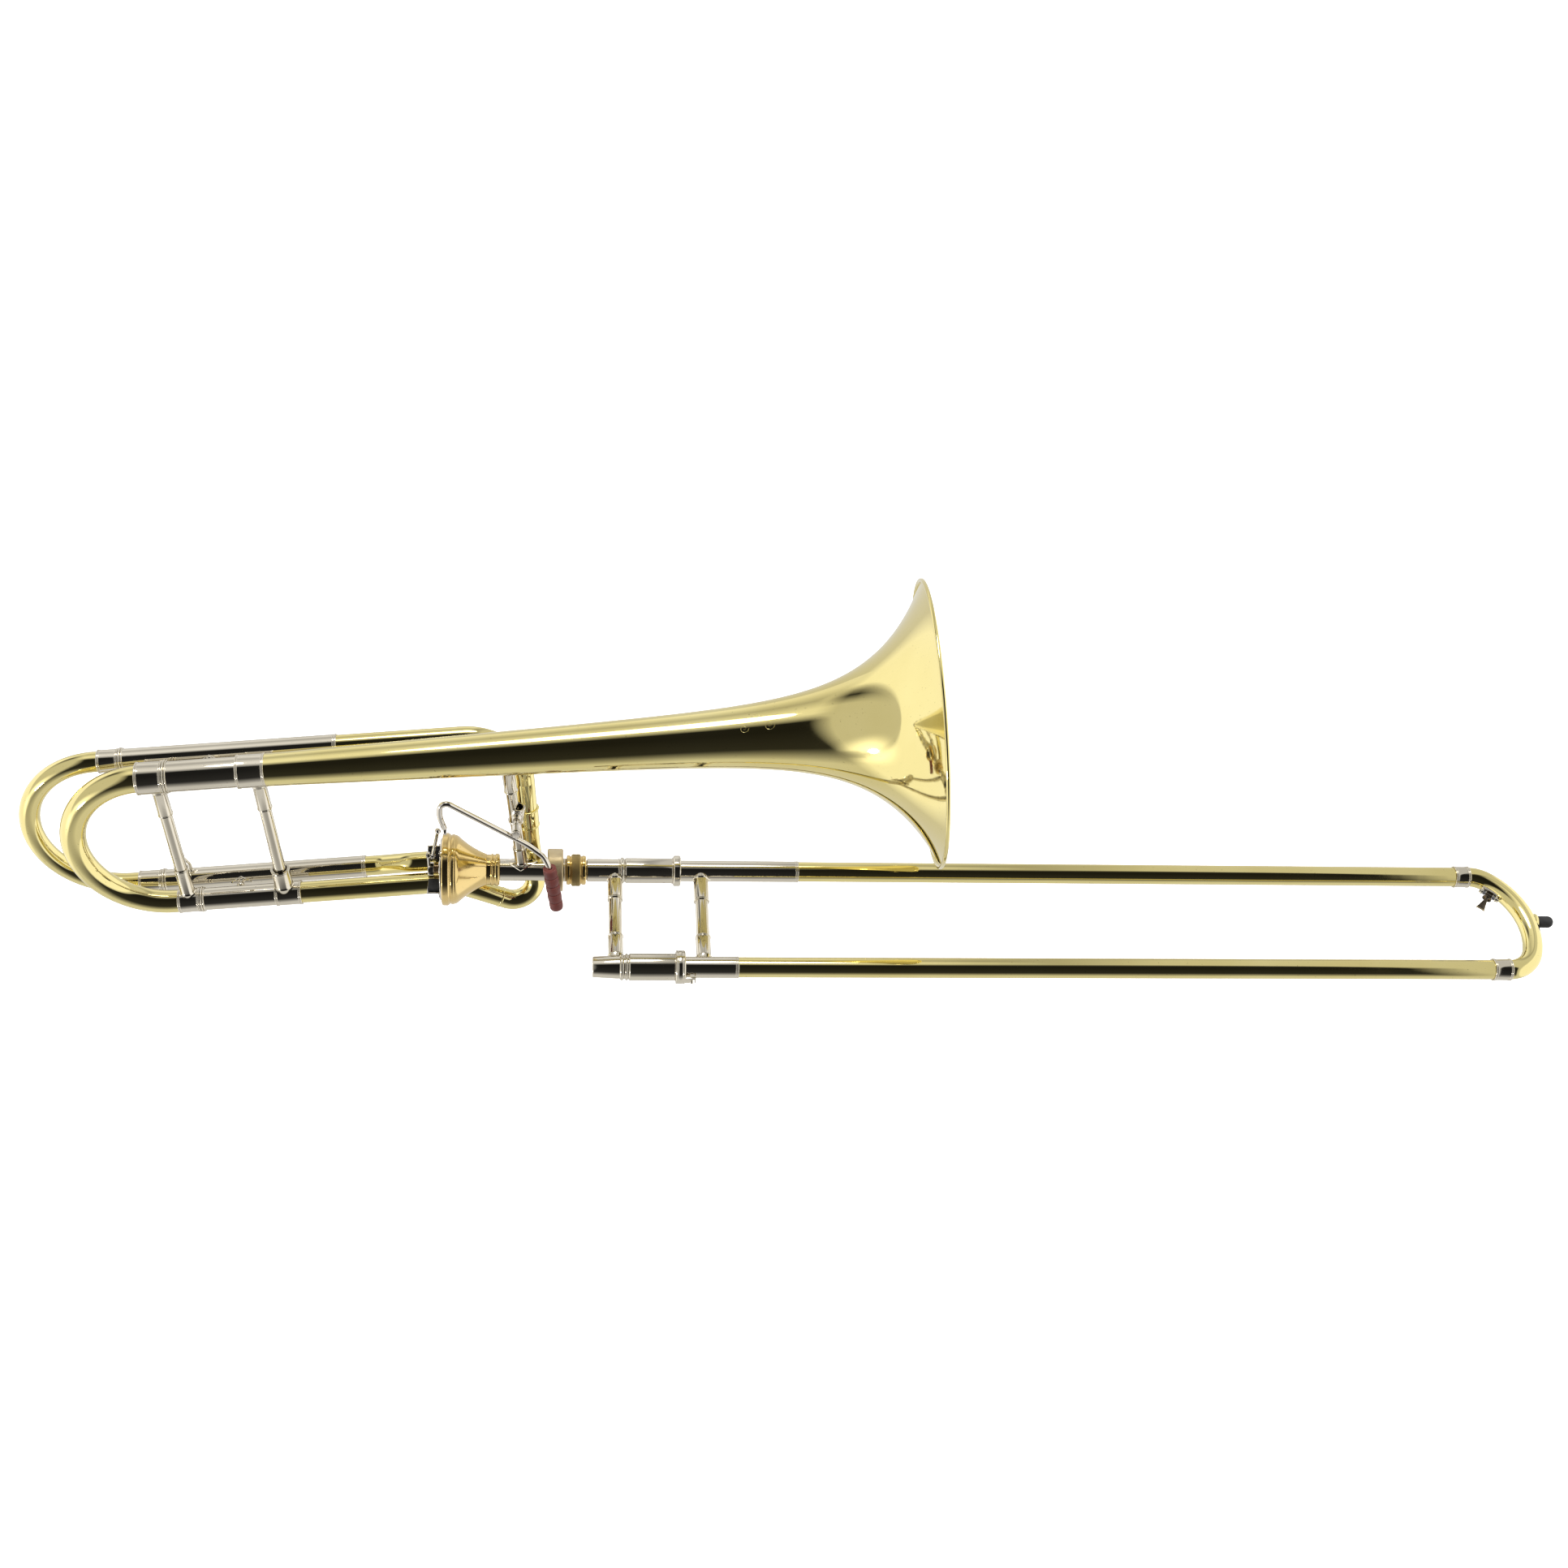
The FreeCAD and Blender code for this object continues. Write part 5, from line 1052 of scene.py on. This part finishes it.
def bell_legs():
    upper, lower = shifted(z=BELL_Z, place=BELL), shifted(z=LEG_Z, place=BELL)
    piece("bell_tail_ferrule_turned", [lathe(beaded(-132.0, -111.0, 12.45, 11.5), upper, 96)], "bell_section",
          "nickel_silver", "bell_tail_ferrule")
    piece("main_sleeve_upper_turned", [lathe(slide_mouth(-185.0, -124.0, 11.5, 10.95, 12.9), upper, 96)],
          "bell_section", "nickel_silver", "main_sleeve_upper")
    piece("main_sleeve_lower_turned", [lathe(slide_mouth(-183.0, -116.0, 8.6, 7.75, 9.9), lower, 96)],
          "bell_section", "nickel_silver", "main_sleeve_lower")
    piece("main_leg_ferrule_turned", [lathe(beaded(-126.0, -106.0, 9.1, 8.25), lower, 96)], "bell_section",
          "nickel_silver", "main_leg_ferrule")
    leg = drawn(-116.0, 2.3, 8.25, 7.65)
    piece("main_leg_drawn", [lathe(leg, lower, 96, 0.1)], "bell_section", "lacquered_brass", "main_leg")
    parts = brace(V(-118.6, 0, LEG_Z), V(-118.6, 0, BELL_Z), X, BELL, 9.15, 12.5, 17.0, 24.0, 5.4, 4.6,
                  (8.0, 6.0),
                  6.9)
    piece("bell_brace_soldered", parts, "bell_section", "nickel_silver", "bell_brace")
    for name, z, x0, x1 in (("f_sleeve_upper", F_TOP, -222.0, -61.6),
                            ("f_sleeve_lower", F_LOW, -216.0, -58.8)):
        outline = slide_mouth(x0, x1, F_SLEEVE, 7.75, 9.6)
        at = len(outline) - 2
        beads = ridge(x1 - 3.0, F_SLEEVE, 0.8, 0.2) + ridge(x1 - 1.6, F_SLEEVE, 1.3, 0.32)
        outline = outline[:at] + beads + outline[at:]
        piece(name + "_turned", [lathe(outline, shifted(y=F_Y, z=z, place=BELL), 96, 0.2)], "bell_section",
              "nickel_silver", name)


def f_tubes():
    down_top, down_low, joint_at = V(72.4, F_Y, 60.0), V(70.6, 19.7, 2.1), 0.56
    joint = down_top + (down_low - down_top) * joint_at
    path = route([V(-69.6, F_Y, F_TOP), V(73.0, F_Y, F_TOP), down_top, joint], [42.0, 12.0], 2.5)
    piece("f_gooseneck_bent", [pipe(path, F_TUBE, BELL, TUBE_WALL, 72)], "bell_section", "lacquered_brass",
          "f_gooseneck")
    ring = to_bell(STUB_START + (RETURN_CORNER - STUB_START) * STUB_RING)
    path = route([joint, down_low, to_bell(RETURN_CORNER), ring], [30.0, 16.1], 2.5)
    piece("f_return_crook_bent", [pipe(path, F_TUBE, BELL, TUBE_WALL, 72)], "bell_section", "lacquered_brass",
          "f_return_crook")
    band = ([(-8.2, F_TUBE), (-8.2, 8.5)] + ridge(-8.1, 8.5, 1.6, 0.8) + [(-6.2, 8.5), (5.8, 8.5)]
            + ridge(6.2, 8.45, 1.0, 0.3) + ridge(7.3, 8.4, 0.9, 0.4) + [(8.2, F_TUBE)])
    piece("f_down_ferrule_turned", [lathe(band, aimed(joint, down_low - down_top, BELL), 80, 0.2)],
          "bell_section",
          "lacquered_brass", "f_down_ferrule")
    run = RETURN_CORNER - STUB_START
    length = run.length * STUB_RING
    stub = ([(2.0, F_TUBE - TUBE_WALL), (2.0, F_TUBE), (length - 1.5, F_TUBE)]
            + ridge(length - 1.4, F_TUBE, 1.3, 0.35)
            + [(length, F_TUBE), (length, F_TUBE - TUBE_WALL)])
    piece("f_stub_turned", [lathe(stub, aimed(STUB_START, run, VALVE), 80, 0.1)], "bell_section",
          "lacquered_brass", "f_stub")
    path = route([V(-66.8, F_Y, F_LOW), V(-47.0, F_Y, F_LOW), V(-22.0, 15.6, -5.2), V(2.3, 15.3, -5.2)],
                 [22.0, 20.0], 2.5)
    piece("f_lower_leg_bent", [pipe(path, F_TUBE, BELL, TUBE_WALL, 72)], "bell_section", "lacquered_brass",
          "f_lower_leg")


def stay(x, near_z, near_r, far_z, far_r, ball_r, feet):
    """A short stay across to the F tubing with a ball at its middle."""
    z = (near_z + far_z) / 2
    start, end = near_r - 1.2, F_Y - far_r + 1.2
    middle = (near_r + F_Y - far_r) / 2
    reach = math.sqrt(ball_r**2 - 1.9**2)
    bulb = [(middle + ball_r * math.cos(a), ball_r * math.sin(a)) for a in
            (math.pi - math.asin(1.9 / ball_r) - (math.pi - 2 * math.asin(1.9 / ball_r)) * k / 12
             for k in range(13))]
    outline = ([(start, AXIS), (start, 2.7), (start + 1.5, 2.5), (start + 2.1, 1.9),
                (middle - reach - 0.1, 1.9)] + bulb
               + [(middle + reach + 0.1, 1.9), (end - 2.1, 1.9), (end - 1.5, 2.5), (end, 2.7), (end, AXIS)])
    parts = [lathe(outline, aimed(V(x, 0, z), Y, BELL), 36, 0.1)]
    parts.append(diamond(V(x, F_Y, far_z), X, -Y, far_r, feet[0], feet[1], BELL))
    return parts


def stays():
    parts = stay(-155.0, BELL_Z, 11.5, F_TOP, F_SLEEVE, 3.0, (9.0, 5.5))
    parts.append(diamond(V(-155.0, 0, BELL_Z), X, Y, 11.5, 9.0, 5.5, BELL))
    parts += stay(-155.0, LEG_Z, 8.6, F_LOW, F_SLEEVE, 3.0, (9.0, 5.5))
    parts.append(diamond(V(-155.0, 0, LEG_Z), X, Y, 8.6, 9.0, 5.5, BELL))
    parts += stay(-4.0, F_TOP + 1.0, bell_radius(-4.0), F_TOP + 1.0, F_TUBE, 2.2, (8.0, 5.0))
    piece("leg_stays_soldered", parts, "bell_section", "nickel_silver", "leg_stays")
    foot = V(-193.0, F_Y, F_LOW + F_SLEEVE)
    path = route([foot - Z * 1.0, foot + Z * 7.0, foot + V(-4.5, 0, 15.0)], [6.0])
    parts = [pipe(path, 1.2, BELL, segments=24), ball(foot + V(-4.5, 0, 15.6), 2.3, BELL),
             diamond(V(foot.x, F_Y, F_LOW), X, Z, F_SLEEVE, 5.0, 3.2, BELL),
             lathe([(-0.5, AXIS), (-0.5, 2.3), (0.6, 2.0), (1.5, 1.3), (1.5, AXIS)], aimed(foot, Z, BELL), 32,
                   0.2)]
    piece("f_hook_made", parts, "bell_section", "nickel_silver", "f_hook")


# ---- tuning slides ------------------------------------------------------------------------------
def crook_points(x_top, x_low, x_centre, z_top, z_low, y):
    middle, radius = (z_top + z_low) / 2, (z_top - z_low) / 2
    arc = [V(x_centre - radius * math.sin(a), y, middle + radius * math.cos(a))
           for a in (math.pi * k / 72 for k in range(73))]
    return [V(x_top, y, z_top)] + arc + [V(x_low, y, z_low)]


def tuning_slides():
    slim = (7.68, 7.18)
    upper, lower = shifted(z=BELL_Z, place=BELL), shifted(z=LEG_Z, place=BELL)
    path = crook_points(-196.0, -192.0, -202.4, BELL_Z, LEG_Z, 0)
    piece("main_crook_bent", [pipe(path, 10.2, BELL, TUBE_WALL, 88, 8.65)], "main_tuning_slide",
          "lacquered_brass",
          "main_crook")
    ferrules = [lathe(beaded(-205.0, -185.2, 12.0, 10.2), upper, 96),
                lathe(beaded(-200.0, -183.2, 9.2, 8.65), lower, 96)]
    piece("main_crook_ferrules_turned", ferrules, "main_tuning_slide", "nickel_silver", "main_crook_ferrules")
    tubes = [lathe(drawn(-196.0, -127.0, 10.88, 10.38), upper, 80, 0.15),
             lathe(drawn(-192.0, -119.0, *slim), lower, 80, 0.15)]
    piece("main_slide_tubes_drawn", tubes, "main_tuning_slide", "plated_tube", "main_slide_tubes")
    parts = brace(V(-191.8, 0, LEG_Z), V(-191.8, 0, BELL_Z), X, BELL, 9.2, 12.0, 25.0, 24.0, 5.4, 4.7,
                  (4.9, 4.9))
    piece("tuning_brace_soldered", parts, "main_tuning_slide", "nickel_silver", "tuning_brace")
    path = crook_points(-229.0, -225.0, -240.6, F_TOP, F_LOW, F_Y)
    piece("f_crook_bent", [pipe(path, F_TUBE, BELL, TUBE_WALL, 80)], "f_tuning_slide", "lacquered_brass",
          "f_crook")
    upper, lower = shifted(y=F_Y, z=F_TOP, place=BELL), shifted(y=F_Y, z=F_LOW, place=BELL)
    ferrules = [lathe(beaded(-238.0, -222.2, 8.6, F_TUBE), upper, 88),
                lathe(beaded(-234.0, -216.2, 8.6, F_TUBE), lower, 88)]
    piece("f_crook_ferrules_turned", ferrules, "f_tuning_slide", "nickel_silver", "f_crook_ferrules")
    tubes = [lathe(drawn(-229.0, -140.0, *slim), upper, 80, 0.15),
             lathe(drawn(-225.0, -134.0, *slim), lower, 80, 0.15)]
    piece("f_slide_tubes_drawn", tubes, "f_tuning_slide", "plated_tube", "f_slide_tubes")


inner_slide()
slide_lock()
outer_slide()
bell()
bell_ornament()
valve()
lock_nut()
valve_rear()
linkage()
hinge()
lever_brace()
bell_legs()
f_tubes()
stays()
tuning_slides()


# ---- floor and light ----------------------------------------------------------------------------
def make_floor(z):
    """A pale floor that glows a little and sweeps up into a wall all round, like a paper roll."""
    flat, sweep, turns, steps = 3.2, 3.6, 96, 16
    rings_out = [(0.4, 0.0), (1.6, 0.0)]
    rings_out += [(flat + sweep * math.sin(math.radians(a)), sweep * (1 - math.cos(math.radians(a))))
                  for a in (90.0 * k / steps for k in range(steps + 1))]
    rings_out.append((flat + sweep, 3.0 * sweep))
    points = [(0.0, 0.0, z)]
    for radius, height in rings_out:
        for k in range(turns):
            angle = 2 * math.pi * k / turns
            points.append((radius * math.cos(angle), radius * math.sin(angle), z + height))
    faces = [(0, 1 + k, 1 + (k + 1) % turns) for k in range(turns)]
    for row in range(len(rings_out) - 1):
        start = 1 + row * turns
        for k in range(turns):
            n = (k + 1) % turns
            faces.append((start + k, start + turns + k, start + turns + n, start + n))
    mesh = bpy.data.meshes.new("floor")
    mesh.from_pydata(points, [], faces)
    mesh.shade_smooth()
    mesh.materials.append(floor_look())
    made = bpy.data.objects.new("floor", mesh)
    scene.collection.objects.link(made)
    # polished metal would mirror the sweep as one flat tone, so reflections see the studio behind it
    made.visible_glossy = False
    made.visible_diffuse = False
    made.visible_shadow = False


def make_world():
    """A bright studio with a dark end on the near side, a duller left wall and a bright right side."""
    wall, left_wall, trim_level, bright = 0.74, 0.72, 0.03, 1.25
    lamp_way, lamp_glow = (-0.77, -0.63, -0.11), 1.3
    world = bpy.data.worlds.new("studio")
    scene.world = world
    world.use_nodes = True
    tree = world.node_tree
    tree.nodes.clear()

    def node(kind, **settings):
        made = tree.nodes.new(kind)
        for name, value in settings.items():
            setattr(made, name, value)
        return made

    def maths(operation, first, second=None, clamp=False):
        made = node("ShaderNodeMath", operation=operation, use_clamp=clamp)
        for index, value in enumerate((first, second)):
            if value is None:
                continue
            if isinstance(value, bpy.types.NodeSocket):
                tree.links.new(value, made.inputs[index])
            else:
                made.inputs[index].default_value = value
        return made.outputs["Value"]

    parts = node("ShaderNodeSeparateXYZ")
    direction = node("ShaderNodeTexCoord").outputs["Generated"]
    tree.links.new(direction, parts.inputs["Vector"])
    # the height of a direction in degrees, measured over the near side: 0 near horizon, 90 overhead
    over = maths("MULTIPLY",
                 maths("ARCTAN2", parts.outputs["Z"], maths("MULTIPLY", parts.outputs["Y"], -1.0)),
                 180 / math.pi)
    aside = parts.outputs["X"]

    def ramp(value, start, end):
        """0 at start, 1 at end, straight between."""
        return maths("DIVIDE", maths("SUBTRACT", value, start), end - start, clamp=True)

    def dip(value, centre, half):
        """1 at centre, falling straight to 0 at half away on both sides."""
        away = maths("DIVIDE", maths("ABSOLUTE", maths("SUBTRACT", value, centre)), half)
        return maths("SUBTRACT", 1.0, away, clamp=True)

    def blend(level, target, share):
        return maths("ADD", level, maths("MULTIPLY", maths("SUBTRACT", target, level), share))

    # the dark end of the studio: fades in upward from the floor, ends sharply overhead
    below = maths("MULTIPLY", maths("POWER", ramp(over, 8.0, -40.0), 1.5), 0.78)
    ceiling = maths("SUBTRACT", 1.0, maths("MULTIPLY", dip(over, 144.0, 26.0), 0.45))
    right_end = maths("SUBTRACT", 1.05, maths("MULTIPLY", ramp(aside, 0.06, 0.24), 0.60))
    ceiling = maths("MULTIPLY", ceiling, right_end)
    above = maths("MULTIPLY", ramp(over, 82.0, 104.0), ceiling)
    dark = maths("ADD", maths("MULTIPLY", ramp(over, 60.0, -5.0), 0.018), 0.016)
    # it ends at a duller wall on the left, which has a dark trim above and below
    across = maths("POWER", maths("ABSOLUTE", maths("DIVIDE", maths("ADD", aside, 0.07), 0.61)), 4.0)
    upward = maths("MAXIMUM", ramp(over, 45.0, 97.0), ramp(over, 45.0, -64.0))
    edges = ramp(maths("ADD", across, maths("POWER", upward, 4.0)), 0.84, 1.14)
    level = maths("MAXIMUM", maths("MAXIMUM", below, above),
                  maths("MAXIMUM", maths("MULTIPLY", edges, wall), dark))
    left = ramp(aside, -0.48, -0.62)
    beyond = maths("MAXIMUM", ramp(over, 148.0, 160.0), ramp(over, -20.0, -30.0))
    level = blend(level, left_wall, maths("MULTIPLY", left, ramp(over, -10.0, -4.0)))
    level = blend(level, bright, maths("MULTIPLY", left, beyond))
    trim = maths("MAXIMUM", dip(over, 139.0, 21.0), dip(over, -15.0, 9.0))
    trim_end = maths("SUBTRACT", 1.0, ramp(aside, -0.70, -0.97))
    level = blend(level, trim_level, maths("MULTIPLY", maths("MULTIPLY", trim, left), trim_end))
    level = maths("MAXIMUM", level, maths("MULTIPLY", ramp(aside, 0.52, 0.64), bright))
    # a soft lamp on the left wall
    lamp = node("ShaderNodeVectorMath", operation="DOT_PRODUCT")
    tree.links.new(direction, lamp.inputs[0])
    lamp.inputs[1].default_value = lamp_way
    glow = maths("POWER", ramp(lamp.outputs["Value"], 0.90, 1.0), 2.5)
    level = maths("ADD", level, maths("MULTIPLY", glow, lamp_glow))
    background = node("ShaderNodeBackground")
    background.inputs["Color"].default_value = (1.0, 0.985, 0.955, 1.0)
    tree.links.new(level, background.inputs["Strength"])
    output = node("ShaderNodeOutputWorld")
    tree.links.new(background.outputs["Background"], output.inputs["Surface"])


def softbox(name, place, aim, width, height, watts, mirrored=True):
    data = bpy.data.lights.new(name, "AREA")
    data.shape = "ELLIPSE"
    data.size = width
    data.size_y = height
    data.energy = watts
    data.color = (1.0, 0.98, 0.95)
    made = bpy.data.objects.new(name, data)
    made.location = place
    made.rotation_mode = "QUATERNION"
    made.rotation_quaternion = (aim - place).to_track_quat("-Z", "Y")
    made.visible_glossy = mirrored
    scene.collection.objects.link(made)


FLOOR_DROP = 0.60
middle = (cad_box[0] + cad_box[1]) / 2
make_floor(cad_box[0].z - FLOOR_DROP)
make_world()
softbox("softbox_left", middle + V(-1.85, -1.50, -0.26), middle, 0.30, 0.22, 6.0)
softbox("softbox_top", middle + V(-0.4, 1.0, 2.4), middle, 1.4, 0.8, 16.0)
softbox("floor_wash", middle + V(0.0, 0.2, 3.0), middle, 4.0, 4.0, 130.0, False)

scene.view_settings.view_transform = "Standard"
scene.view_settings.look = "None"
scene.view_settings.exposure = 0.0
